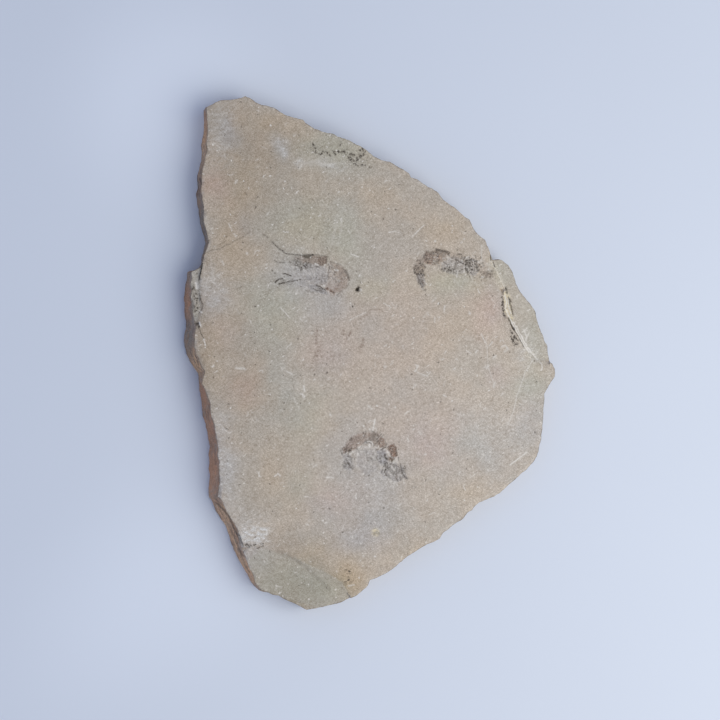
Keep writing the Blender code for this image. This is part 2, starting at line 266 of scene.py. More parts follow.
# %% [markdown]
# ## The broken edge, bed by bed
#
# Fine limestone comes in thin beds, and each bed breaks a little further out or in than
# the next. The edge is built as rows of points: a ray goes out through the solid at each
# height, and a few sizes of random movement roughen what it finds. Rows sit closer
# together at the steps between beds, so that the steps stay crisp.

# %% Heights of the rows
BED_STEPS = [(7.4, 7.1), (4.7, 4.4)]
UNDERCUT = 1.3
ROWS_PER_BED = 5
RIM_DROP = 0.03


def row_heights(top):
    """Heights (mm) of the rows at a station whose rim is at `top`, from the rim down."""
    heights = list(np.linspace(top - RIM_DROP, BED_STEPS[0][0], ROWS_PER_BED + 1))
    for (_, foot), below in zip(BED_STEPS, [BED_STEPS[1][0], UNDERCUT]):
        heights += list(np.linspace(foot, below, ROWS_PER_BED))
    return heights + [UNDERCUT / 2, 0.0]


rows = np.array([row_heights(top) for top in rim_top]).T
print(len(rows), "rows of", rows.shape[1], "points")

# %% Find the broken edge along each row
STEP_IN = 3.0
GRAZE = 0.02


def edge_at(station, out, height):
    """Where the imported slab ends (mm) at this station and height."""
    start = Vector((*(station - out * STEP_IN), min(max(height, GRAZE), FACE - GRAZE)))
    place = slab_tree.ray_cast(start, Vector((*out, 0.0)))[0]
    return station if place is None else np.array(place.xy)


edge = np.array([[edge_at(s, o, h) for s, o, h in zip(stations, outward, row)] for row in rows])
print("the foot lies at most", round(float(np.abs(edge[-1] - edge[0]).max()), 1), "mm from the rim")

# %% Dents in the broken edge: middle, half width and height in view units, depth in mm
DENTS = [(194, 185, 7, 7, 1.0), (196, 261, 7, 6, 1.3)]
FALL_OFF = 0.7


def soft_round(points, u, v, half_width, half_height):
    """A soft round value, 1 in its middle, with half its width and height in view units."""
    off = (points - on_face((u, v))) / (np.array([half_width, half_height]) * UNIT)
    return np.exp(-FALL_OFF * np.sum(off * off, axis=1))


def dent_of_row(k):
    """How far each point of one row moves in (mm), where more has chipped off."""
    depth = np.zeros(len(edge[k]))
    for *place, most in DENTS:
        depth = np.maximum(depth, most * soft_round(edge[k], *place))
    return depth * (k > 0)


print("dents in the second row move", int(np.sum(dent_of_row(1) > 0.1)), "points")

# %% Roughen the broken edge: depth and size in mm of each kind of ripple
LUMPS = [(0.15, 3.5), (0.14, 1.6), (0.09, 0.8)]
LAMINA = (0.12, 2.2)


def roughness_of_row(k):
    """How far each point of one row moves out (mm)."""
    place = np.column_stack([edge[k], rows[k] * 1.6])
    moved = sum(depth * ripple(place, size, seed) for seed, (depth, size) in enumerate(LUMPS, 1))
    flattened = np.column_stack([edge[k] * 0.25, rows[k] * 4.0])
    return moved + LAMINA[0] * ripple(flattened, LAMINA[1], 4)


for k in range(len(rows)):
    edge[k] += outward * (roughness_of_row(k) - dent_of_row(k))[:, None]
rim_line = edge[0]
wide, tall = np.ptp(rim_line, axis=0)
print(f"the rim line is {wide:.1f} by {tall:.1f} mm")

# %% [markdown]
# ## Marks, told as lists
#
# Cracks, scratches and stains are listed one by one. Each is a short list of places in the
# view, with a width in millimetres. The same lists serve twice: they say where the mesh
# must be fine enough to hold a mark, and they paint it.

# %% Edges of the ledges, where a bed has flaked away
LEDGE_LINES = {
    "right ledge": [(491, 258), (495, 268), (505, 289), (509, 305), (512, 320), (517, 332),
                    (522, 345), (533, 360), (550, 362)],
    "bottom ledge": [(262, 548), (275, 549), (290, 556), (305, 563), (325, 572), (340, 580),
                     (345, 590), (350, 598)],
    "left chip": [(202, 268), (199, 280), (200, 300), (202, 306), (199, 316), (196, 322)],
    "lower left bevel": [(222, 505), (230, 518), (238, 531), (243, 545), (250, 562), (256, 577)],
    "small facet": [(213, 485), (220, 490), (221, 498), (212, 503)],
}
print(len(LEDGE_LINES), "ledge lines:", ", ".join(LEDGE_LINES))

# %% Cracks and dark lines: width in mm, strength, places
CRACKS = [
    (0.45, 0.40, [(205, 253), (212, 250), (220, 249), (226, 245), (230, 244)]),
    (0.40, 0.30, [(230, 244), (236, 240), (243, 237), (250, 232)]),
    (0.40, 0.25, [(213, 247), (219, 245), (226, 241)]),
    (0.40, 0.55, [(357, 159), (364, 155)]),
    (0.60, 0.85, [(490.5, 256), (491, 260)]),
    (0.45, 0.80, [(493, 262), (495, 267)]),
    (0.60, 0.90, [(505.6, 288), (507, 293)]),
    (0.42, 0.85, [(508.5, 297), (509.6, 302), (511.3, 308), (513, 315)]),
    (0.42, 0.70, [(502.5, 297), (503.2, 303), (503.5, 309), (503.8, 315)]),
    (0.60, 0.85, [(503.6, 315), (505.3, 317)]),
    (0.42, 1.00, [(508.5, 318), (511.2, 325), (515, 331.5)]),
    (0.30, 0.90, [(515, 331), (519.5, 339), (523.8, 346.5)]),
    (0.35, 0.60, [(222, 505), (230, 518), (238, 531), (243, 545)]),
    # faint wide dark line: painted shade at the foot of the worn bottom ledge
    (0.90, 0.22, [(278, 551), (290, 556), (305, 566), (318, 578), (330, 590)]),
    (0.38, 1.10, [(202.5, 263), (201.6, 268), (200.3, 274), (199.2, 280)]),
    (0.28, 0.95, [(199.2, 294), (200.5, 299), (202.3, 303), (203, 306)]),
    (0.26, 0.80, [(203, 306), (201.5, 310), (198.7, 313.6)]),
    (0.52, 1.90, [(196.9, 321.8), (199.0, 327.0)]),
    (0.30, 1.00, [(198.5, 327), (200.5, 332), (203.2, 338)]),
    (0.30, 0.45, [(193, 290), (192.5, 300), (193.5, 312)]),
    (0.25, 0.20, [(293, 385), (294, 393)]),
]
print(len(CRACKS), "cracks")

# %% Small dark spots and pits: radius in mm, strength, places
DARK_SPOTS = [
    (0.66, 2.00, [(357.0, 290.0)]),
    (0.45, 1.60, [(358.6, 287.6)]),
    (0.30, 1.40, [(352.6, 306.4), (327.3, 372.6)]),
    (0.28, 0.75, [(360.5, 287.5), (360.5, 282.5)]),
    (0.40, 0.90, [(246.5, 544), (249.8, 545.6), (254, 545)]),
    (0.34, 0.85, [(263, 543.5), (263, 546), (247.8, 544.5), (258, 548.5)]),
    (0.35, 0.50, [(245.5, 193)]),
    (0.30, 0.40, [(208, 357), (327, 372), (388, 290), (386, 268), (415, 218), (406, 377), (318, 200),
                  (375, 529), (379, 533), (371, 541), (362, 551), (348, 544)]),
    (0.30, 0.45, [(345, 570), (348, 577), (351, 569), (352, 582), (346, 584)]),
    (0.30, 0.60, [(417.5, 260.5), (420, 260.3), (481.5, 280.5), (473.5, 294.2)]),
    (0.26, 0.60, [(299, 135), (307, 131), (303, 139), (371, 167.6)]),
    (0.60, 0.75, [(512, 333), (515.5, 338), (513, 341), (517, 344)]),
    (0.40, 0.65, [(511, 337), (514, 345), (518, 340), (510.5, 330.5)]),
]
print(sum(len(places) for _, _, places in DARK_SPOTS), "dark spots set by hand")

# %% Strings of dark dots, as minerals leave them along hairline cracks
DOT_STRINGS = [
    [(312.5, 142), (314.5, 147), (316.5, 152.5), (320, 154.5), (324, 152), (328, 153.5), (330.5, 155.5)],
    [(332, 150), (335, 154), (337, 149.5), (341, 152.5), (344, 151), (346, 148)],
    [(348.5, 157.5), (351, 160.5), (354, 163.5), (358, 165.5), (363, 165), (366, 165)],
    [(356, 159.5), (359.5, 157.2), (363, 155), (365.5, 152), (362, 149)],
    [(340.5, 146), (342, 141)],
    [(360, 151), (363, 147.5), (367, 151)],
    [(246, 543.5), (250, 545.5), (254, 545), (258, 548), (263, 544)],
    [(346, 569), (351, 573)],
    [(345, 582), (350, 580)],
    [(344, 151.5), (350, 153.5), (356, 156)],
    [(338, 151), (345, 153), (349, 158), (353, 160.5), (358, 159.5)],
    [(511, 331), (513, 335), (516, 338), (513, 342), (517, 345)],
    [(510, 336), (513, 340), (516, 334)],
    [(502.8, 294), (502.6, 302), (503.4, 310), (504.5, 316)],
    [(509.5, 299), (511.5, 308)],
    [(193.5, 284), (194, 300), (195, 312)],
    [(196, 290), (196.5, 300), (197, 310)],
]
DOT_SPACING = 1.3
DOT_STRAY = 0.6


def dots_along(strings, seed):
    """Dots of random size scattered close along each string."""
    rng = np.random.default_rng(seed)
    dots = []
    for places in strings:
        line = np.array(places, float)
        for a, b in zip(line[:-1], line[1:]):
            for _ in range(1 + int(np.linalg.norm(b - a) / DOT_SPACING)):
                place = a + rng.random() * (b - a) + rng.normal(0.0, DOT_STRAY, 2)
                dots.append((rng.uniform(0.20, 0.36), rng.uniform(0.6, 1.4), [tuple(place)]))
    return dots


DARK_SPOTS += dots_along(DOT_STRINGS, 5)
print(len(DARK_SPOTS), "groups of dark spots")

# %% Light scratches and veins: width in mm, strength, places
SCRATCHES = [
    (0.60, 0.20, [(298, 168), (303, 164.5), (310, 162), (320, 161.5)]),
    (0.90, 0.26, [(299, 168), (301, 166)]),
    (0.80, 0.22, [(317, 163), (322, 164), (331, 165)]),
    (0.50, 0.16, [(333, 162.5), (340, 163), (350, 165)]),
    (0.30, 0.50, [(280, 307), (290, 318)]),
    (0.30, 0.45, [(350, 320), (366, 312)]),
    (0.80, 0.12, [(332, 245), (335, 230), (338, 215)]),
    (0.60, 0.12, [(338, 245), (341, 230), (342, 217)]),
    (0.40, 0.80, [(510, 465), (518, 459), (527, 452)]),
    (0.30, 0.45, [(533, 360), (525, 372), (521, 385), (517, 395), (514, 410), (508, 425)]),
    (0.25, 0.35, [(519, 387), (526, 385.5), (533, 385)]),
    (0.28, 1.10, [(510.5, 319.5), (513.5, 325.5), (517.3, 332.5), (521.3, 340), (525, 347), (529, 352)]),
    (0.25, 1.00, [(513.5, 322), (517.5, 329), (521.8, 337.5), (526.3, 345.5), (531, 352), (537.5, 360)]),
    (0.34, 0.70, [(505, 295), (506.5, 301), (505.5, 309), (508, 315), (511, 321), (514, 328)]),
    (0.30, 0.60, [(508.5, 298), (508.5, 306), (511, 314)]),
    (0.35, 0.60, [(539, 362), (542, 364), (542, 369)]),
    (0.34, 1.00, [(199.4, 322), (200.8, 326.5)]),
    (0.90, 0.60, [(196.3, 283), (197.2, 288)]),
    (0.50, 0.60, [(200, 311), (202, 312.5)]),
    (0.40, 0.60, [(203.5, 339), (205.5, 345)]),
    (0.30, 0.35, [(491.5, 260), (497, 272), (504.5, 287)]),
    (0.60, 0.50, [(524, 330), (527, 337), (524, 343)]),
    (0.45, 0.45, [(529, 333), (526, 341)]),
    (0.45, 0.45, [(519, 338), (524, 345), (530, 352)]),
    (0.40, 0.75, [(375, 419), (374, 425), (372.5, 431)]),
    (0.30, 0.60, [(351, 254), (355, 255.5), (358.5, 257)]),
    (0.30, 0.30, [(304, 376), (304.5, 384)]),
    (0.55, 0.60, [(303.5, 386), (304.5, 391)]),
    (0.60, 0.60, [(301.5, 394), (304.5, 396.5)]),
    (0.45, 0.50, [(286, 371), (292, 374)]),
    (0.60, 0.45, [(236, 368), (244, 368.5)]),
    (0.38, 0.50, [(481.3, 333.8), (483.3, 338.5), (486.2, 343.7)]),
    (0.42, 0.48, [(489.2, 345.8), (492.5, 341.7)]),
    (0.45, 0.60, [(493, 358), (495.5, 356)]),
    (0.50, 0.70, [(486.8, 367.5), (488.5, 365.5)]),
    (0.45, 0.50, [(495, 381.7), (493.3, 387.5)]),
    (0.50, 0.45, [(501.5, 347), (505, 345), (508, 349), (504.5, 352)]),
    (0.40, 0.45, [(466.7, 350.8), (471, 353.3)]),
    (0.42, 0.58, [(415.8, 365), (418.5, 366), (414.8, 371.5)]),
    (0.38, 0.50, [(423.5, 374.5), (427, 376.5), (430, 372.5)]),
    (0.40, 0.45, [(434.7, 317.5), (434.7, 322.5)]),
    (0.40, 0.50, [(443.3, 395), (446, 396.5)]),
    (0.45, 0.50, [(275, 476), (278, 473.5), (280, 476)]),
    (0.45, 0.45, [(313, 467), (317, 465)]),
    (0.45, 0.35, [(481.5, 245), (481.5, 262)]),
    (0.35, 0.50, [(412, 237), (418, 231), (424, 225)]),
    (0.30, 0.45, [(416, 365), (417, 372), (425, 376)]),
    (0.35, 0.60, [(457, 271), (457, 277)]),
    (0.30, 0.35, [(480, 460), (485, 455)]),
    (0.30, 0.35, [(470, 478), (478, 472)]),
    (0.28, 0.40, [(494, 385), (488, 366), (487, 345)]),
]
print(len(SCRATCHES), "light scratches")

# %% Small light flecks: radius in mm, strength, places
LIGHT_SPOTS = [
    (0.50, 0.85, [(361, 290), (435, 241), (469.5, 313), (415, 385), (385, 367), (395, 407), (331, 415)]),
    (0.48, 0.60, [(441.7, 359.2), (398, 508), (420.8, 433.3), (513.3, 432.5), (398, 531), (309, 521)]),
    (0.45, 0.45, [(424.7, 316.7), (395.8, 307.5), (420, 307.5), (497.5, 415), (502.5, 426.7),
                  (392.5, 342.5)]),
    (0.30, 0.60, [(420, 432), (513, 430), (307, 525), (402, 455), (301.5, 248), (298, 250)]),
    (0.28, 0.45, [(411, 250), (414, 247), (408, 280), (480, 405), (455, 430), (300, 445), (330, 520)]),
]
print(sum(len(places) for _, _, places in LIGHT_SPOTS), "light flecks")

# %% Faint brown traces between the shrimps: width in mm, strength, places
TRACES = [
    (0.30, 0.50, [(370.6, 309.2), (376, 309.8), (382, 309.3)]),
    (0.45, 0.62, [(368, 313.8), (364, 316.8), (359, 319.6)]),
    (0.45, 0.85, [(343.8, 330), (343.2, 334.5)]),
    (0.48, 0.95, [(352.3, 331), (350, 335)]),
    (0.36, 0.75, [(350.5, 333.5), (347, 339), (344, 343.5)]),
    (0.34, 0.65, [(347.8, 334), (344, 339.5), (341.5, 343)]),
    (0.40, 0.75, [(363.3, 338.5), (362, 345), (360, 352)]),
    (0.34, 0.50, [(364.5, 341), (363.5, 348)]),
    (0.45, 0.90, [(317, 328), (316.5, 335), (316, 343)]),
    (0.38, 0.75, [(318.5, 344), (318, 350), (317.3, 356)]),
    (0.40, 0.75, [(315, 350), (315.3, 356), (315.8, 362.5)]),
    (0.34, 0.55, [(321, 341), (320.5, 350), (321, 357)]),
    (0.34, 0.50, [(331, 350), (331.5, 358)]),
    (0.34, 0.50, [(334, 352), (333.3, 362)]),
    (0.34, 0.50, [(338, 350), (340, 358)]),
    (0.34, 0.45, [(326, 355), (327, 362)]),
    (0.34, 0.50, [(310, 345), (312, 352)]),
]
print(len(TRACES), "brown traces")

# %% Short curled scratches, too many to list
CURLS_ACROSS = (200, 545)
CURLS_DOWN = (110, 600)
CURL_RUNS = 3


def curls(count, seed):
    """Random short curved scratches in the style of the list above."""
    rng = np.random.default_rng(seed)
    made = []
    for _ in range(count):
        place = np.array([rng.uniform(*CURLS_ACROSS), rng.uniform(*CURLS_DOWN)])
        heading = rng.uniform(0.0, 2 * math.pi)
        bend = rng.normal(0.0, 0.5)
        step = rng.uniform(1.0, 2.4)
        places = [place]
        for _ in range(CURL_RUNS):
            place = place + step * np.array([math.cos(heading), math.sin(heading)])
            places.append(place)
            heading += bend
        made.append((rng.uniform(0.28, 0.42), rng.uniform(0.10, 0.88) ** 2.4, places))
    return made


CURLS = curls(300, 3)
print(len(CURLS), "short scratches")

# %% Chalky patches: middle, half width and height in view units, strength
CHALK = [
    (281, 140, 7, 4, 0.45), (285, 150, 4, 8, 0.80), (211, 304, 6, 6, 0.50),
    (302, 166, 5, 4, 0.60), (330, 165, 12, 5, 0.45), (254, 535, 13, 11, 0.85),
    (236, 512, 10, 12, 0.22), (222, 130, 13, 30, 0.30),
    (215, 290, 12, 22, 0.35), (222, 465, 9, 38, 0.45), (490, 460, 12, 60, 0.16),
    (529, 352, 9, 10, 0.40), (345, 212, 22, 30, 0.10), (520, 430, 16, 40, 0.20),
    (365, 470, 22, 30, 0.14), (228, 560, 10, 14, 0.35), (370, 480, 36, 60, 0.10),
]
print(len(CHALK), "chalky patches")

# %% [markdown]
# ## Soft changes of colour
#
# Seen whole, the face isn't one beige. Broad clouds of green, blue grey, pink and tan
# overlap on it, a few hundredths stronger or weaker than the stone itself. Darker and
# lighter clouds go over them. They are partly the stone's own tone and partly painted light:
# painted shade towards the left and the upper left, and painted light towards the right.
# Each cloud is one entry: its middle, its half width and height, and how strong it is.

# %% Clouds of colour: middle, half width and height in view units, strength
CLOUDS = {
    "green": [
        (335, 148, 36, 18, 1.0), (312, 224, 34, 26, 1.0), (350, 245, 14, 22, 0.7),
        (275, 310, 26, 30, 1.0), (308, 418, 24, 28, 0.8), (372, 288, 18, 12, 0.8),
        (452, 283, 26, 9, 1.1), (527, 388, 15, 12, 0.8), (328, 592, 18, 9, 1.2),
        (290, 580, 30, 16, 1.1), (535, 340, 8, 30, 0.8), (500, 272, 8, 10, 0.8),
        (300, 490, 14, 16, 0.6), (275, 385, 16, 26, 0.4), (470, 440, 20, 20, 0.4),
    ],
    "blue": [
        (228, 128, 9, 12, 1.0), (284, 148, 8, 10, 1.0), (245, 225, 8, 12, 0.6),
        (318, 296, 34, 34, 1.0), (212, 300, 12, 14, 0.9), (284, 398, 22, 32, 0.7),
        (222, 466, 10, 36, 1.2), (262, 560, 14, 12, 0.7), (368, 500, 34, 52, 1.1),
        (360, 540, 20, 12, 1.0), (478, 446, 38, 34, 0.9), (532, 420, 14, 22, 0.9),
        (528, 330, 8, 14, 0.4), (300, 275, 26, 10, 1.2), (240, 545, 16, 20, 1.2),
    ],
    "pink": [
        (214, 184, 10, 15, 1.0), (246, 388, 16, 16, 0.8), (489, 308, 12, 22, 1.2),
        (498, 375, 10, 8, 0.8), (325, 355, 18, 18, 0.7), (325, 500, 20, 14, 0.7),
        (430, 432, 36, 26, 0.6), (430, 450, 14, 14, 0.6), (225, 335, 14, 16, 0.5),
        (400, 345, 50, 60, 0.4), (330, 435, 20, 18, 0.4),
    ],
    "tan": [
        (268, 122, 32, 12, 0.9), (245, 180, 26, 22, 1.1), (372, 190, 30, 12, 0.8),
        (445, 230, 26, 16, 1.0), (352, 578, 18, 20, 2.2), (310, 550, 12, 11, 1.2),
        (405, 552, 34, 12, 1.1), (475, 492, 24, 10, 0.9), (235, 260, 18, 26, 0.7),
        (445, 330, 40, 50, 0.5), (215, 345, 12, 26, 0.8), (265, 480, 16, 40, 0.6),
        (332, 262, 16, 16, 1.0), (240, 385, 26, 32, 0.8), (230, 225, 14, 30, 0.6),
    ],
    # Lighter clouds: paler tone of the stone, and painted light towards the right
    "light_and_pale_tone": [
        (500, 400, 60, 80, 0.5), (440, 520, 60, 40, 0.2), (350, 560, 30, 20, 0.4),
        (450, 420, 60, 70, 0.5),
        (520, 330, 20, 60, 0.35), (345, 275, 60, 22, 0.25), (252, 536, 14, 9, 0.9),
    ],
    # Darker clouds: darker tone of the stone, and painted shade towards the left, on the left edge and at
    # the tips
    "shade_and_dark_tone": [
        (245, 388, 24, 30, 0.45), (282, 462, 22, 20, 0.45), (282, 545, 20, 16, 0.45),
        (490, 375, 24, 26, 0.35), (240, 165, 45, 60, 1.1), (325, 195, 60, 50, 0.6),
        (295, 578, 45, 28, 2.1), (232, 330, 34, 140, 0.8),
        (200, 315, 9, 55, 1.6), (206, 372, 7, 22, 0.8), (214, 106, 22, 22, 1.35),
        (235, 140, 50, 30, 0.9), (246, 510, 22, 26, 0.7), (254, 545, 16, 14, 0.3),
        (300, 520, 50, 30, 0.4), (300, 590, 34, 16, 1.6),
    ],
}
print(sum(len(c) for c in CLOUDS.values()), "clouds of colour")

# %% What each kind of cloud adds to the red, green and blue of the stone
CLOUD_TINT_AND_SHADE = {
    "green": (-0.020, 0.003, -0.014),
    "blue": (-0.028, -0.010, 0.018),
    "pink": (0.018, -0.014, -0.006),
    "tan": (0.016, -0.003, -0.024),
    # the darker and lighter kinds paint shade towards the left and light towards the right, as well as tone
    "shade_and_dark_tone": (-0.055, -0.052, -0.048),
    "light_and_pale_tone": (0.050, 0.048, 0.042),
}
print("kinds of cloud:", ", ".join(CLOUD_TINT_AND_SHADE))

# %% [markdown]
# ## A brush for stone
#
# Paint on a mesh is a value at each vertex. The brush below keeps one layer of values per
# kind of mark, and works out how far each vertex lies from a line, a spot or an outline.
# Values like these travel with the mesh, and they need no picture file.

# %% Distances on the face
def route_distance(points, route):
    """How far each point is from a line of straight runs (mm)."""
    best = np.full(len(points), 1e9)
    for a, b in zip(route[:-1], route[1:]):
        run = b - a
        share = np.clip(((points - a) @ run) / (run @ run), 0.0, 1.0)
        best = np.minimum(best, np.linalg.norm(points - a - share[:, None] * run, axis=1))
    return best


def outline_distance(points, outline):
    """Distance (mm) to a closed outline, negative inside it."""
    closed = np.vstack([outline, outline[:1]])
    far = route_distance(points, closed)
    inside = np.zeros(len(points), bool)
    for a, b in zip(closed[:-1], closed[1:]):
        if a[1] == b[1]:
            continue
        crosses = (a[1] > points[:, 1]) != (b[1] > points[:, 1])
        at = (b[0] - a[0]) * (points[:, 1] - a[1]) / (b[1] - a[1]) + a[0]
        inside ^= crosses & (points[:, 0] < at)
    return np.where(inside, -far, far)


print(f"the middle lies {-outline_distance(np.zeros((1, 2)), rim_line)[0]:.1f} mm inside the rim")

# %% The brush
class Brush:
    """Layers of values, 0 to 1, painted on points of the fossil face."""

    def __init__(self, at, ragged=None):
        self.at = at
        self.ragged = at if ragged is None else ragged
        self.layers = {}
        self.tint = np.zeros((len(at), 3))

    def near(self, places, reach):
        low = places.min(0) - reach
        high = places.max(0) + reach
        return np.all((self.at > low) & (self.at < high), axis=1).nonzero()[0]

    def lay(self, layer, where, value):
        """Keeps the stronger of a layer's old and new values."""
        values = self.layers.setdefault(layer, np.zeros(len(self.at)))
        values[where] = np.maximum(values[where], value)

    def stroke(self, layer, places, width, strength=1.0):
        route = on_face(*places)
        where = self.near(route, 2 * width)
        far = route_distance(self.at[where], route)
        self.lay(layer, where, strength * (1.0 - ease(far, 0.25 * width, 0.85 * width)))

    def spot(self, layer, place, radius, strength=1.0):
        middle = on_face(place)
        where = self.near(middle, 2 * radius)
        far = np.linalg.norm(self.at[where] - middle, axis=1)
        self.lay(layer, where, strength * (1.0 - ease(far, 0.4 * radius, 1.3 * radius)))

    def area(self, layer, places, soft, strength=1.0):
        outline = on_face(*places)
        where = self.near(outline, 2 * soft)
        far = outline_distance(self.ragged[where], outline)
        self.lay(layer, where, strength * (1.0 - ease(far, -soft, soft)))

    def cloud(self, u, v, half_width, half_height):
        """A soft round value at each point, 1 in its middle."""
        return soft_round(self.at, u, v, half_width, half_height)


# %% Let the marks wander
def wandering(points, amount, size):
    """Points moved by smooth random amounts, so that marks on them get natural edges."""
    in_space = flat3(points)
    return points + amount * np.stack([ripple(in_space, size, 11), ripple(in_space, size, 12)], 1)


# %% Paint the marks that all the stone shares: how far marks wander over which size (mm)
CLOUD_WANDER = (3.0, 9.0)
LINE_WANDER = (0.12, 0.8)
AREA_WANDER = (0.40, 1.1)
TRACE_GAIN = 0.85
SCRATCH_GAIN = 1.6
FLECK_GAIN = 1.3


def paint_stone(at):
    """A brush loaded with the clouds, chalk, cracks and spots of the fossil face."""
    soft = Brush(wandering(at, *CLOUD_WANDER))
    brush = Brush(wandering(at, *LINE_WANDER), wandering(at, *AREA_WANDER))
    for kind, clouds in CLOUDS.items():
        for *place, strength in clouds:
            brush.tint += strength * soft.cloud(*place)[:, None] * np.array(CLOUD_TINT_AND_SHADE[kind])
    for *place, strength in CHALK:
        brush.lay("chalk", slice(None), strength * soft.cloud(*place))
    for width, strength, places in CRACKS:
        brush.stroke("dark", places, width, strength)
    for radius, strength, places in DARK_SPOTS:
        for place in places:
            brush.spot("dark", place, radius, strength)
    for width, strength, places in TRACES:
        brush.stroke("film", places, width, TRACE_GAIN * strength)
    for width, strength, places in SCRATCHES:
        brush.stroke("pale", places, width, SCRATCH_GAIN * strength)
    for width, strength, places in CURLS:
        brush.stroke("pale", places, width, FLECK_GAIN * strength)
    for radius, strength, places in LIGHT_SPOTS:
        for place in places:
            brush.spot("pale", place, radius, FLECK_GAIN * strength)
    return brush
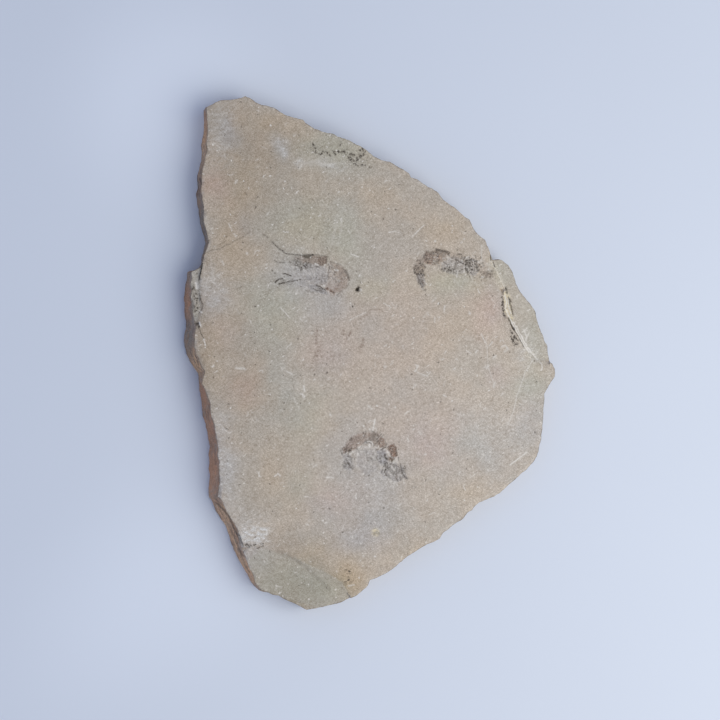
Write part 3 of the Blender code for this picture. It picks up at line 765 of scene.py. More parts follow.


# %% [markdown]
# ## The shrimps
#
# A shrimp in fine limestone is a film: the shell is squeezed to a fraction of a
# millimetre, browner where it was thick and only a grey bloom where it was thin. Each one
# is drawn part by part from the real animal: the carapace behind the head, the curled
# abdomen in six plates, the tail fan, and the legs and feelers as fine lines.
# The dark and pale lines drawn along the edges of the carapace and the plates paint the
# shell's dark rim, and with it the shade and highlight along the edges of its low relief.
# The outlines come first, because the mesh of each shrimp is cut along them.

# %% The shrimp at the upper left
FOSSILS = {}
FOSSILS["shrimp_upper_left"] = {
    "body": [
        [(299, 254.5), (312, 254), (321, 255), (328, 256), (328, 261), (334, 262.5), (341, 264),
         (346, 269), (349.5, 276), (350.5, 281), (348, 287), (343, 291.5), (337, 295), (330, 296),
         (322, 293.5), (312, 292.5), (307, 286), (314, 283), (305, 281), (300, 275), (297, 270),
         (294, 265), (294, 257)],
    ],
    "limbs": [
        [(263, 234.5), (268, 237.5), (272, 241.5), (277, 246.5), (281, 250), (284, 252),
         (288, 253.7), (294, 254.6), (302, 255)],
        [(274.5, 260), (277, 262), (281, 262.7), (289, 262.5), (294, 264.5), (300, 268)],
        [(274.5, 282.5), (276.5, 280.7), (279, 279.5), (282.5, 278.3), (287, 278), (296, 276.5)],
        [(283, 274), (285, 273.6), (288, 274.8), (292, 276), (300, 276.5)],
        [(278.5, 284), (281, 283.4), (284, 283), (289, 281.5), (295, 280.5), (301, 279.5), (312, 279.5)],
    ],
    "film": [
        ("film", 0.42, 0.9, [(300, 255), (327, 256), (327, 264), (318, 266), (311, 263), (303, 263),
                             (298, 259)]),
        ("film", 0.60, 0.5, [(317, 256.5), (327, 257), (326.5, 263), (323, 266), (318, 264.5)]),
        ("olive", 0.55, 0.5, [(304, 255), (311, 254.5), (312, 258), (305, 259)]),
        ("slate", 0.30, 1.3, [(304, 263), (316, 264), (326, 267), (329, 276), (326, 284), (316, 284),
                              (308, 280), (303, 273)]),
        ("slate", 0.38, 0.9, [(303, 264), (311, 265), (312, 272), (306, 274)]),
        ("slate", 0.24, 1.0, [(315, 267), (322, 268), (321, 275), (316, 276)]),
        ("rust", 0.14, 1.2, [(329, 263), (340, 265), (348, 276), (347, 286), (340, 293), (330, 291),
                             (328, 276)]),
        ("film", 0.27, 0.9, [(334, 263.5), (341, 265), (346, 270), (349, 278), (347, 287), (341, 291),
                             (334, 293), (330, 290), (337, 286), (341, 278), (338, 270)]),
        ("rust", 0.20, 0.9, [(336, 274), (342, 273), (343, 278), (337, 279)]),
        ("rust", 0.20, 1.2, [(324, 283), (335, 281), (338, 290), (333, 296), (326, 290)]),
        ("slate", 0.42, 0.7, [(308, 285), (316, 285), (326, 290), (328, 295), (318, 293), (311, 290)]),
        ("film", 0.30, 0.8, [(294, 257), (300, 257), (300, 260), (295, 260)]),
    ],
    # Legs, feelers and rims; those along the carapace and plate edges also paint shade and highlight of the
    # relief
    "lines": [
        ("dark", 0.35, 0.45, [(263, 234.5), (268, 237.5)]),
        ("dark", 0.65, 0.38, [(272, 241.8), (275, 245), (277, 247)]),
        ("dark", 0.45, 0.60, [(277, 246.5), (280, 249.5), (284, 251.5)]),
        ("dark", 0.60, 0.35, [(284, 252.3), (286, 253.5), (289, 254.2), (292, 254.3)]),
        ("dark", 0.62, 0.32, [(292, 254.4), (296, 254.9), (301, 255.3)]),
        ("dark", 0.62, 0.75, [(303, 255.8), (308, 255.5), (312, 255)]),
        ("dark", 0.45, 0.28, [(312, 254.6), (320, 255.2), (328, 256.6)]),
        ("dark", 0.50, 0.40, [(327.3, 256.8), (326.6, 260), (326.8, 263)]),
        ("dark", 0.55, 0.30, [(274.7, 260.2), (277, 262)]),
        ("dark", 0.42, 0.35, [(277, 262.2), (281, 262.7), (285, 262.7)]),
        ("dark", 0.40, 0.35, [(289, 262.3), (293, 263.2), (296, 265)]),
        ("dark", 0.95, 0.45, [(275.2, 282.4), (276.5, 281)]),
        ("dark", 0.75, 0.42, [(277, 280.7), (279, 279.4), (282.5, 278.5)]),
        ("dark", 0.75, 0.42, [(283, 273.9), (285, 273.5), (288, 274.8), (291, 275.8)]),
        ("dark", 0.80, 0.42, [(279, 284), (281, 283.3), (284, 283)]),
        ("dark", 0.66, 0.34, [(284, 283), (289, 281.5), (295, 280.8), (301, 279.4)]),
        ("dark", 0.30, 0.28, [(305, 279.6), (311, 279.5)]),
        ("dark", 0.72, 0.38, [(316, 285), (320, 286.7), (325, 290)]),
        ("dark", 0.50, 0.32, [(316, 290), (319, 290.6), (322, 291.6)]),
        ("rust", 0.75, 0.75, [(326, 288), (330, 290.3), (334, 293.6)]),
        ("dark", 0.30, 0.50, [(327, 288.5), (331, 291), (334, 293.8)]),
        ("dark", 0.35, 0.35, [(330, 262), (335, 263.4), (341, 264.6)]),
        ("dark", 0.45, 0.70, [(345, 271), (347.5, 275), (349, 280)]),
        ("dark", 0.55, 0.35, [(345.5, 270), (348.5, 275.5), (350, 280.5)]),
        ("dark", 0.28, 0.40, [(349, 283), (346.5, 288.5)]),
        ("dark", 0.45, 0.35, [(337, 295.3), (340, 293)]),
        ("dark", 0.38, 0.35, [(340.5, 291.6), (343, 291)]),
        ("dark", 0.35, 0.32, [(328, 264), (330, 267), (328.5, 271), (328, 276)]),
        ("dark", 0.35, 0.32, [(330.5, 262.5), (332, 265.5), (331, 269)]),
        ("pale", 0.45, 0.60, [(285, 278.5), (287.5, 281)]),
        ("pale", 0.50, 0.30, [(301.5, 253), (301.5, 257)]),
        ("pale", 0.85, 0.45, [(315, 263.8), (318, 265.2)]),
        ("dark", 0.45, 0.35, [(315, 266.5), (319.5, 267.2)]),
        ("pale", 0.50, 0.45, [(324, 285), (326, 287.5)]),
        ("pale", 0.35, 0.35, [(331, 272), (333, 276)]),
    ],
    "spots": [
        ("dark", 0.50, 0.35, [(316.3, 277.5), (319, 279.6), (308.5, 262.8), (275, 273), (296, 262)]),
        ("dark", 0.35, 0.30, [(277, 258), (283, 260), (287, 259), (286, 257), (292, 261), (284.5, 277),
                              (322, 281), (309, 260.5), (336, 282), (338, 285), (336, 272)]),
        ("pale", 0.40, 0.30, [(322, 270), (326, 272), (318, 268.5), (330, 270), (332, 283), (326, 277)]),
    ],
    "speckle": [(302, 266, 7, 4.5, 1.0), (297, 260, 5, 4, 0.6), (330, 272, 5, 12, 0.6),
                (321, 280, 7, 4, 0.6), (311, 266, 7, 3, 0.6), (316, 290, 8, 4, 0.4)],
    "plates": [
        [(328, 262), (329, 270), (326, 277)], [(336, 263.5), (335, 271), (329, 278)],
        [(344, 268.5), (339, 274), (331, 280)], [(349, 277), (341, 279), (332, 283)],
        [(349, 285), (340, 284), (333, 286)], [(342, 292), (337, 288.5), (333, 288)],
    ],
}

# %% The shrimp at the upper right
FOSSILS["shrimp_upper_right"] = {
    "body": [
        [(413.5, 266), (416, 261), (420, 258.5), (422, 255.5), (427, 250.5), (436, 248), (445, 250),
         (451, 252), (460, 253), (468, 257.5), (475, 258.5), (480.5, 264), (481, 271), (476, 276.5),
         (466, 275.5), (452, 274.5), (443, 273), (437, 267.5), (429, 267), (425, 271), (426, 279),
         (427.5, 285), (425, 291.5), (420, 288), (416, 280), (413.5, 272.5)],
    ],
    "limbs": [
        [(478, 270.5), (483, 272.5), (488, 275), (493, 276.5)],
        [(478, 267), (485, 269.5), (493, 271.5)],
        [(468, 273), (470, 277), (472, 280)],
        [(474, 272), (476, 276), (478.5, 279)],
    ],
    "film": [
        ("film", 0.36, 0.7, [(424, 255), (430, 252), (437, 249), (449, 252), (449, 256), (444, 259),
                             (441, 263), (436, 265), (430, 265), (424, 261)]),
        ("rust", 0.28, 0.7, [(424, 256), (430, 253), (434, 256), (432, 264), (427, 265), (423, 261)]),
        ("rust", 0.20, 0.6, [(436, 254), (442, 256), (441, 260), (436, 260)]),
        ("olive", 0.30, 0.6, [(432, 260), (440, 260), (437, 265), (432, 264)]),
        ("slate", 0.26, 1.0, [(442, 262), (450, 257), (457, 256), (465, 262), (466, 272), (457, 275),
                              (447, 273), (442, 269)]),
        ("film", 0.28, 0.6, [(414.5, 265), (420, 264), (426, 264), (424, 270), (423, 274), (416, 275),
                             (414.5, 270)]),
        ("slate", 0.34, 0.6, [(416, 274), (423.5, 273.5), (424.5, 279), (426, 285), (423.5, 288.5),
                              (419.5, 285), (416.5, 279)]),
        ("rust", 0.30, 0.6, [(416, 274), (423, 274), (425, 284), (422, 287), (418, 280)]),
        ("film", 0.26, 0.6, [(416.5, 260), (421, 256.5), (425, 261), (422, 266), (417, 266)]),
        ("slate", 0.34, 0.6, [(470, 268.5), (478, 269), (477, 275), (470, 275)]),
        ("slate", 0.22, 0.8, [(464, 259), (471, 257.5), (478, 261), (480, 270), (475, 275), (466, 273)]),
        ("film", 0.22, 1.2, [(479, 270), (487, 271), (493, 274), (491, 278), (483, 275.5)]),
        ("film", 0.14, 1.0, [(450, 252), (463, 254), (462, 259), (452, 257)]),
    ],
    # Legs, feelers and rims; those along the carapace and plate edges also paint shade and highlight of the
    # relief
    "lines": [
        ("dark", 0.58, 0.85, [(436, 249.8), (440, 250.5), (445, 251.6), (449, 252.8)]),
        ("dark", 0.45, 0.60, [(436, 252), (431, 253.4), (429.5, 255)]),
        ("dark", 0.42, 0.75, [(428, 251.5), (425.5, 254), (423.5, 257.3)]),
        ("rust", 0.45, 0.60, [(427, 252), (424, 257)]),
        ("dark", 0.45, 0.50, [(447.5, 254), (449.5, 256)]),
        ("dark", 0.38, 0.45, [(429, 258.5), (427.5, 263)]),
        ("dark", 0.42, 0.40, [(416.8, 260.8), (420, 260.3)]),
        ("dark", 0.72, 0.40, [(455.3, 259.4), (458, 260.7), (460.5, 262.2), (463, 264)]),
        ("dark", 0.30, 0.28, [(457, 262.5), (456.6, 268)]),
        ("dark", 0.50, 0.45, [(457, 254.3), (461.5, 254.2)]),
        ("dark", 0.40, 0.40, [(461.5, 258.5), (463, 259.5)]),
        ("pale", 0.70, 0.50, [(457, 271.5), (457, 277)]),
        ("pale", 0.55, 0.50, [(464.3, 267.5), (464, 272)]),
        ("pale", 0.55, 0.60, [(466, 258), (468.5, 256.5)]),
        ("pale", 0.45, 0.60, [(473.5, 260), (477, 261.5)]),
        ("pale", 0.35, 0.40, [(443, 258.5), (446.5, 257.5)]),
        ("dark", 0.45, 0.35, [(467, 273), (470, 276.5)]),
        ("dark", 0.42, 0.32, [(472, 274.5), (474.5, 278)]),
        ("dark", 0.35, 0.35, [(417, 276), (419, 281), (421, 285)]),
        ("dark", 0.35, 0.35, [(420.5, 276), (422.5, 281), (424, 285)]),
        ("pale", 0.35, 0.30, [(419, 277), (421, 282)]),
    ],
    "spots": [
        ("dark", 0.62, 0.55, [(420, 271.5), (422.8, 271.3), (421, 274), (423.7, 274.8), (415, 272.8)]),
        ("dark", 0.42, 0.50, [(416, 266), (418.5, 267.5), (422, 265.5), (424.5, 266), (417, 274.5)]),
        ("dark", 0.50, 0.40, [(443, 271), (445, 268.5), (448, 270), (451, 270.6), (448.8, 268.8),
                              (455, 268.6), (460, 271.2), (462, 270), (442.5, 269.3)]),
        ("dark", 0.45, 0.40, [(457.2, 249.6), (452, 258), (456, 258.5), (463, 258)]),
        ("dark", 0.70, 0.55, [(469, 260.3), (471, 260), (466, 264), (468.5, 264.8), (467, 270.5),
                              (467.5, 272), (472, 269.5), (477, 267.8), (478, 270.5), (466, 261)]),
        ("dark", 0.45, 0.38, [(481, 272), (484, 273.2), (487, 275), (486, 276.7), (491, 274), (490, 277),
                              (492.3, 271), (483.5, 265.3), (482.5, 263.2), (481, 267)]),
        ("dark", 0.60, 0.38, [(422.2, 287.2), (424.6, 290.2)]),
        ("pale", 0.50, 0.35, [(419.5, 271.2), (446.7, 255.5), (420, 287), (423, 288.7), (421.5, 275.5)]),
    ],
    "speckle": [(470, 265, 9, 8, 1.3), (449, 270, 9, 3.5, 1.2), (419, 271, 6, 6, 1.0), (421, 281, 4, 6, 0.7),
                (434, 257, 9, 6, 0.4), (458, 265, 8, 6, 0.5), (486, 274, 8, 5, 0.6), (447, 262, 6, 4, 0.4)],
    "plates": [
        [(444, 250), (442, 257), (443, 263)], [(436, 249), (435.5, 257), (437, 265)],
        [(427, 251), (430, 258), (433, 266)], [(421, 256), (425, 261), (429, 267)],
        [(415, 262), (421, 265), (426, 269)], [(413.5, 269), (419, 270), (425, 272)],
    ],
}

# %% The shrimp below the middle
FOSSILS["shrimp_lower"] = {
    "body": [
        [(341.5, 455), (342.5, 449), (345, 444.5), (350, 437.5), (356, 433), (363, 431.5), (372, 429.5),
         (380, 432), (385, 437.5), (387, 442.5), (392, 442), (395, 442.5), (397.5, 448), (399.5, 455),
         (400.5, 461), (396, 465), (388, 465), (384, 461), (382, 454), (379, 450), (374, 448.5),
         (364, 448), (359, 450), (353, 453.5), (350, 458), (346, 459)],
    ],
    "limbs": [
        [(399, 461), (401, 466), (402.5, 471), (404, 475.5), (408, 479)],
        [(386.5, 462), (386.3, 467), (385.5, 470.5), (384, 472.5)],
        [(383.5, 468), (381.5, 471), (380.5, 474)],
        [(390, 463), (391.5, 468), (394, 472), (396, 477)],
        [(394, 463.5), (398, 467), (400, 472), (401, 480)],
        [(387, 470), (388.5, 475), (391, 479.5)],
        [(345.5, 457), (347.5, 462), (350, 466.5), (353.5, 470)],
        [(344, 457), (344.8, 463), (346, 469)],
    ],
    "film": [
        ("rust", 0.25, 0.7, [(343, 453), (344, 447), (350, 438), (357, 433.5), (366, 432), (370, 434),
                             (368, 439), (363, 444), (358, 447.5), (352, 451)]),
        ("film", 0.14, 1.0, [(344, 450), (350, 439), (360, 434), (362, 441), (354, 448), (349, 452)]),
        ("film", 0.40, 0.5, [(343.5, 448), (351.5, 447.5), (351.5, 451.5), (346, 454), (343, 453)]),
        ("film", 0.34, 0.6, [(368, 431.5), (378, 432.5), (384, 438), (386, 446), (381, 448), (374, 445),
                             (369, 440)]),
        ("rust", 0.26, 0.6, [(379.5, 438), (384, 439), (385.5, 445.5), (381, 447.5), (378.5, 444)]),
        ("film", 0.72, 0.5, [(388.5, 445.5), (394, 443.8), (397, 450.5), (397.8, 455), (396, 458),
                             (392, 461.5), (388, 459.5), (386.5, 456), (388.8, 456), (390, 453.5),
                             (388, 451), (387, 447)]),
        ("rust", 0.26, 0.6, [(388, 446), (394, 445), (397, 452), (395, 457), (391, 455)]),
        ("olive", 0.40, 0.5, [(390, 460), (395, 459), (395, 464), (391, 463)]),
        ("slate", 0.60, 1.2, [(376, 451), (385, 449), (387, 457), (388, 464), (381, 466), (377, 459)]),
        ("slate", 0.35, 1.0, [(385, 463), (396, 463), (401, 470), (403, 480), (396, 482), (388, 476),
                              (384, 470)]),
        ("slate", 0.35, 1.5, [(343, 455), (350, 454), (354, 466), (350, 472), (344, 468)]),
        ("slate", 0.30, 0.8, [(380, 469), (388, 470), (391, 478), (384, 478)]),
        ("slate", 0.24, 1.2, [(367, 454), (378, 456), (378, 466), (369, 465)]),
        ("slate", 0.25, 1.5, [(357, 449), (376, 449), (378, 470), (366, 476), (357, 465)]),
        ("slate", 0.40, 0.7, [(400, 464), (404, 469), (408, 479), (403, 479), (400, 472)]),
    ],
    # Legs, feelers and rims; those along the carapace and plate edges also paint shade and highlight of the
    # relief
    "lines": [
        ("dark", 0.55, 0.45, [(350, 440), (351.5, 438)]),
        ("dark", 0.55, 0.45, [(365.5, 434), (364, 437)]),
        ("dark", 0.30, 0.80, [(374, 432), (372.5, 438)]),
        ("dark", 0.40, 0.45, [(370, 438.5), (366, 441), (363.5, 443.5)]),
        ("dark", 0.42, 0.35, [(381.5, 434), (379, 437), (376, 440.5)]),
        ("dark", 0.35, 0.35, [(382.5, 436.5), (379, 440.5), (375.5, 444)]),
        ("pale", 0.25, 0.28, [(380.5, 436), (376.5, 441)]),
        ("dark", 0.30, 0.35, [(385, 439), (386, 445)]),
        ("dark", 0.35, 0.32, [(345, 449), (349, 443), (354, 437.5)]),
        ("dark", 0.48, 0.32, [(356.6, 444), (357, 449.5)]),
        ("pale", 0.80, 0.38, [(364.5, 443), (366.5, 441.7), (369.5, 441.2), (371.8, 442.3), (372.8, 445)]),
        ("dark", 0.45, 0.35, [(366.5, 442.7), (369.5, 442.6), (371.3, 444)]),
        ("pale", 0.95, 0.50, [(369.5, 444.5), (369.7, 447)]),
        ("pale", 0.95, 0.55, [(357.5, 453), (358, 455)]),
        ("pale", 0.60, 0.42, [(345.5, 454), (347.5, 452.6)]),
        ("pale", 0.60, 0.40, [(349.5, 454), (352, 453)]),
        ("pale", 0.55, 0.42, [(358, 447.8), (360.5, 446.3)]),
        ("pale", 0.45, 0.35, [(352, 451.5), (355, 451.5)]),
        ("dark", 0.60, 0.38, [(381, 450), (383, 448.6), (386, 447)]),
        ("dark", 0.45, 0.32, [(386, 445.6), (387, 443.5)]),
        ("pale", 0.45, 0.35, [(382, 451), (385, 449)]),
        ("dark", 0.45, 0.40, [(396, 449.5), (397.6, 455)]),
        ("dark", 0.35, 0.30, [(394.3, 443), (396, 448.5)]),
        ("dark", 0.50, 0.40, [(398.4, 457.5), (398.6, 460)]),
        ("pale", 0.45, 0.90, [(395.8, 458.5), (396.4, 461)]),
        ("pale", 0.45, 0.90, [(388, 452.5), (389.7, 456)]),
        ("pale", 0.75, 0.35, [(387.3, 450.8), (387.6, 452.5)]),
        ("dark", 0.62, 0.60, [(385, 455), (385.3, 457.5), (387.5, 459.5)]),
        ("dark", 0.50, 0.40, [(400.3, 463.5), (401.3, 468)]),
        ("dark", 0.62, 0.60, [(401.5, 469), (402.5, 473), (404, 476)]),
        ("dark", 0.45, 0.55, [(404.5, 476.5), (407, 478.5)]),
        ("dark", 0.45, 0.45, [(399.3, 469), (399.8, 471)]),
        ("dark", 0.50, 0.36, [(385.8, 462.5), (385.7, 467)]),
        ("dark", 0.70, 0.42, [(386, 469), (384.5, 471.8)]),
        ("dark", 0.50, 0.42, [(382.5, 469.8), (381.3, 473)]),
        ("dark", 0.45, 0.40, [(394.5, 464.5), (398.5, 467)]),
        ("dark", 0.50, 0.36, [(387.6, 463), (387.4, 466)]),
        ("dark", 0.35, 0.35, [(392, 470), (394.5, 474), (396, 477)]),
        ("dark", 0.42, 0.32, [(388, 474.5), (390.8, 479)]),
        ("dark", 0.35, 0.32, [(386, 473), (388.6, 478)]),
        ("pale", 0.45, 0.32, [(387, 474), (389.7, 479.5)]),
        ("dark", 0.42, 0.36, [(399, 476), (401, 480.5)]),
        ("dark", 0.38, 0.36, [(396, 477.5), (398, 481.5)]),
        ("pale", 0.35, 0.36, [(398, 475), (400, 479)]),
        ("dark", 0.60, 0.60, [(348, 463), (350, 465.5)]),
        ("dark", 0.45, 0.55, [(350, 466.5), (352.5, 469)]),
        ("dark", 0.38, 0.42, [(344.5, 462), (345.6, 467)]),
        ("dark", 0.45, 0.42, [(367, 457.8), (370.5, 457.6), (373, 460.5)]),
        ("dark", 0.25, 0.32, [(372, 461), (374, 464)]),
        ("dark", 0.42, 0.45, [(341.7, 452.5), (342.3, 455)]),
        ("dark", 0.30, 0.40, [(380, 456), (382, 457)]),
    ],
    "spots": [
        ("dark", 0.55, 0.60, [(350.8, 449.3), (349.5, 451)]),
        ("dark", 0.62, 0.42, [(363.3, 433), (377.5, 435.5), (387.6, 468.3), (390.6, 464)]),
        ("dark", 0.40, 0.40, [(372.5, 431.5), (375.3, 460), (367, 451.5), (374, 445.5), (394, 473.5)]),
        ("pale", 0.55, 0.35, [(365.5, 442.8), (363.5, 435.5), (376.5, 437.5), (394.5, 466), (383, 437)]),
    ],
    "speckle": [(394, 472, 8, 9, 0.35), (378, 438, 6, 5, 0.25), (349, 450, 6, 4, 0.6), (386, 466, 4, 6, 0.6),
                (380, 457, 6, 6, 0.4), (348, 463, 5, 7, 0.5), (392, 461, 4, 3, 0.6), (360, 440, 14, 7, 0.3)],
    "plates": [
        [(386, 438), (382, 442), (380, 449)], [(380, 432), (377, 438), (376, 446)],
        [(371, 430.5), (371, 437), (370, 444)], [(362, 432), (363, 438), (365, 445)],
        [(353, 435.5), (357, 441), (361, 447)], [(346, 443), (351, 447), (355, 451)],
    ],
}

# %% [markdown]
# ## Fibres of the film
#
# Close up, a pressed shell isn't an even stain. It is broken into short fibres that lie
# along the legs and across the plates. There are hundreds and no single one matters, so
# each tuft is given by its place, lean and count, and a seeded draw lays its fibres.

# %% Tufts: layer, middle, half width and height, lean, spread, length, count, strength
FIBRES = {
    "shrimp_upper_left": [
        ("dark", 303, 265, 7, 5, 40, 40, 2.6, 34, 0.50), ("pale", 303, 266, 8, 6, 40, 40, 2.4, 24, 0.45),
        ("dark", 297, 262, 5, 4, 30, 25, 3.0, 12, 0.40), ("pale", 317, 273, 12, 6, 70, 25, 3.0, 34, 0.35),
        ("dark", 330, 275, 8, 12, 60, 40, 2.6, 34, 0.30), ("pale", 331, 277, 8, 12, 60, 40, 2.6, 34, 0.35),
        ("dark", 340, 274, 5, 9, 50, 30, 2.6, 14, 0.28), ("pale", 287, 270, 14, 8, 25, 30, 3.2, 34, 0.28),
        ("dark", 317, 289, 8, 4, 25, 20, 3.0, 14, 0.35), ("dark", 287, 281, 10, 3, -12, 15, 3.0, 10, 0.35),
        ("pale", 310, 292, 20, 6, 80, 40, 2.6, 22, 0.35), ("dark", 318, 258, 8, 3, 0, 20, 3.0, 14, 0.30),
        ("dark", 307, 285, 10, 8, 85, 20, 2.6, 14, 0.16),
    ],
    "shrimp_upper_right": [
        ("dark", 471, 265, 8, 7, 50, 60, 2.4, 50, 0.52), ("pale", 471, 265, 9, 8, 50, 60, 2.4, 40, 0.50),
        ("dark", 449, 270, 9, 3, 80, 30, 2.2, 26, 0.42), ("dark", 450, 262, 8, 6, 60, 40, 2.2, 26, 0.28),
        ("pale", 450, 262, 9, 7, 60, 40, 2.4, 30, 0.35), ("dark", 419, 271, 6, 6, 10, 50, 2.2, 32, 0.48),
        ("dark", 422, 282, 3, 6, 62, 18, 2.6, 16, 0.40), ("pale", 422, 281, 3, 6, 62, 18, 2.4, 10, 0.40),
        ("dark", 488, 274, 9, 5, 20, 50, 2.2, 26, 0.32), ("dark", 436, 254, 12, 5, -5, 30, 2.6, 30, 0.32),
        ("pale", 437, 257, 12, 6, 10, 50, 2.2, 16, 0.25), ("dark", 425, 258, 4, 5, -50, 25, 2.4, 16, 0.32),
        ("pale", 468, 281, 16, 6, 80, 40, 2.6, 22, 0.28), ("pale", 487, 264, 8, 8, 60, 30, 2.6, 16, 0.35),
    ],
    "shrimp_lower": [
        ("dark", 392, 471, 9, 9, 62, 22, 3.4, 40, 0.40), ("pale", 391, 473, 11, 11, 62, 28, 3.2, 60, 0.50),
        ("dark", 381, 458, 6, 7, 55, 40, 2.6, 26, 0.35), ("pale", 376, 458, 12, 9, 60, 50, 2.8, 52, 0.42),
        ("pale", 363, 462, 14, 11, 70, 50, 2.8, 44, 0.28), ("dark", 348, 462, 5, 7, 60, 30, 2.8, 20, 0.38),
        ("pale", 347, 462, 6, 9, 60, 30, 2.6, 18, 0.35), ("dark", 376, 438, 9, 6, -45, 20, 2.8, 34, 0.30),
        ("dark", 357, 441, 11, 6, -42, 20, 2.8, 26, 0.20), ("pale", 366, 448, 12, 4, -20, 30, 2.4, 22, 0.50),
        ("dark", 348, 449, 5, 4, -30, 30, 2.4, 16, 0.35), ("pale", 371, 427, 7, 4, 75, 30, 2.4, 12, 0.40),
        ("dark", 370, 458, 8, 7, 35, 40, 2.8, 16, 0.25), ("dark", 402, 473, 4, 6, 55, 15, 2.6, 14, 0.45),
        ("pale", 380, 487, 16, 8, 65, 30, 3.2, 26, 0.28), ("dark", 416, 482, 8, 4, 35, 15, 2.6, 6, 0.30),
    ],
}


print(sum(entry[-2] for tufts in FIBRES.values() for entry in tufts), "fibres to lay")

# %% Lay the fibres
FIBRE_SCATTER = 0.55
FIBRE_BEND = 0.25
FIBRE_WIDTHS = (0.26, 0.40)
FIRST_SEED = 40


def fibres(layer, u, v, half_width, half_height, lean, spread, length, count, strength, rng):
    """Random short lines about one place, mostly along one lean (degrees, clockwise)."""
    made = []
    for _ in range(count):
        place = np.array([u, v]) + rng.normal(0.0, FIBRE_SCATTER, 2) * (half_width, half_height)
        heading = math.radians(lean + rng.normal(0.0, spread))
        step = length / 2 * rng.uniform(0.5, 1.3) * np.array([math.cos(heading), math.sin(heading)])
        bend = FIBRE_BEND * rng.normal() * np.array([-step[1], step[0]])
        places = [place - step, place + bend, place + step]
        made.append((layer, strength * rng.uniform(0.4, 1.3), rng.uniform(*FIBRE_WIDTHS), places))
    return made


for seed, (name, drawn) in enumerate(FOSSILS.items()):
    rng = np.random.default_rng(FIRST_SEED + seed)
    drawn["fibres"] = [line for entry in FIBRES[name] for line in fibres(*entry, rng)]
    counts = [len(drawn[kind]) for kind in ("film", "lines", "fibres")]
    print(name, "areas, lines and fibres:", counts)

# %% [markdown]
# ## Paint for a shrimp
#
# The real stain soaks a little way into the stone round a shell, so it doesn't stop at
# the rim of the film. The same brush paints the film and the stone beside it with the same
# values, and the colour runs on from one to the other without a seam.

# %% Paint one shrimp
STAIN_GAIN = 1.40
LINE_GAIN = 1.30
STAIN_SOFT = 1.2


def paint_film(brush, drawn):
    """Adds a shrimp's own areas, lines and spots to a brush."""
    for layer, strength, soft, places in drawn["film"]:
        brush.area(layer, places, soft * UNIT * STAIN_SOFT, min(1.0, STAIN_GAIN * strength))
    for layer, strength, width, places in drawn["lines"] + drawn["fibres"]:
        brush.stroke(layer, places, width, LINE_GAIN * strength)
    for layer, strength, radius, places in drawn["spots"]:
        for place in places:
            brush.spot(layer, place, radius, LINE_GAIN * strength)
    for *place, strength in drawn["speckle"]:
        brush.lay("speckle", slice(None), strength * brush.cloud(*place))


# %% [markdown]
# ## The fossil face as a mesh
#
# The face is a net of points: a coarse honeycomb over the plain stone, and a fine one
# along cracks, ledges and pits. Joining them by hand would be hopeless, so a constrained
# Delaunay triangulation does it and keeps the rim line exactly.

# %% Points in a honeycomb
SHAKE = 0.12


def honeycomb(low, high, spacing, seed):
    """Points in a honeycomb over a box (mm), each shaken a little."""
    rng = np.random.default_rng(seed)
    across = np.arange(low[0], high[0], spacing)
    up = np.arange(low[1], high[1], spacing * math.sqrt(3) / 2)
    x, y = np.meshgrid(across, up)
    x[1::2] += spacing / 2
    points = np.stack([x.ravel(), y.ravel()], 1)
    return points + rng.uniform(-SHAKE, SHAKE, points.shape) * spacing


rim_low = rim_line.min(0)
rim_high = rim_line.max(0)
print(len(honeycomb(rim_low, rim_high, 10.0, 0)), "points at a spacing of 10 mm")

# %% Where the net has to be fine
FINE_REACH = 0.40
HALOS = [(305, 268, 46, 32), (450, 266, 48, 25), (377, 460, 37, 34)]


def fine_lines():
    """Every drawn line that the mesh itself should follow, in mm."""
    drawn = [on_face(*places) for places in LEDGE_LINES.values()]
    drawn += [on_face(*places) for _, _, places in CRACKS + SCRATCHES + CURLS]
    for _, _, places in DARK_SPOTS:
        drawn += [on_face(place, (place[0] + 1, place[1])) for place in places]
    return drawn


def needs_fine(points):
    """True near a drawn line."""
    wanted = np.zeros(len(points), bool)
    for route in fine_lines():
        low = route.min(0) - FINE_REACH
        high = route.max(0) + FINE_REACH
        here = np.all((points > low) & (points < high), axis=1).nonzero()[0]
        wanted[here] |= route_distance(points[here], route) < FINE_REACH
    return wanted


def in_halo(points):
    """True close round a shrimp, where thin traces of it stain the plate."""
    offs = [(points - on_face((u, v))) / (np.array([a, b]) * UNIT) for u, v, a, b in HALOS]
    return np.min([np.sum(off * off, axis=1) for off in offs], axis=0) < 1.0


print(len(fine_lines()), "lines for the net to follow")

# %% Choose the points of the net: spacings in mm, and how far they keep from the rim
COARSE = 0.72
MIDDLE = 0.32
FINE = 0.25
RIM_CLEAR = 0.45
RING_BACK = 0.32
RING_CLEAR = 0.20


def inside_rim(points, margin):
    """The points that lie inside the rim line by at least the margin."""
    far = outline_distance(points, rim_line)
    return points[far < -margin], -far[far < -margin]


coarse = honeycomb(rim_low, rim_high, COARSE, 1)
middle = honeycomb(rim_low, rim_high, MIDDLE, 4)
middle = middle[in_halo(middle)]
fine = honeycomb(rim_low, rim_high, FINE, 2)
coarse = coarse[~needs_fine(coarse) & ~in_halo(coarse)]
net = np.vstack([coarse, middle[~needs_fine(middle)], fine[needs_fine(fine)]])
net, from_rim = inside_rim(net, RIM_CLEAR)
ring, ring_from_rim = inside_rim(rim_line - outward * RING_BACK, RING_CLEAR)
net = np.vstack([net, ring])
from_rim = np.concatenate([from_rim, ring_from_rim])
print(len(net), "points inside the rim")

# %% [markdown]
# ## Relief of the face
#
# The face of real platy stone is never flat: it swells by a tenth of a millimetre, its
# ledges have worn round, and its rim is bitten where crumbs have broken off. The heights
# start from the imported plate, so the large forms agree, and the fine relief goes on top.

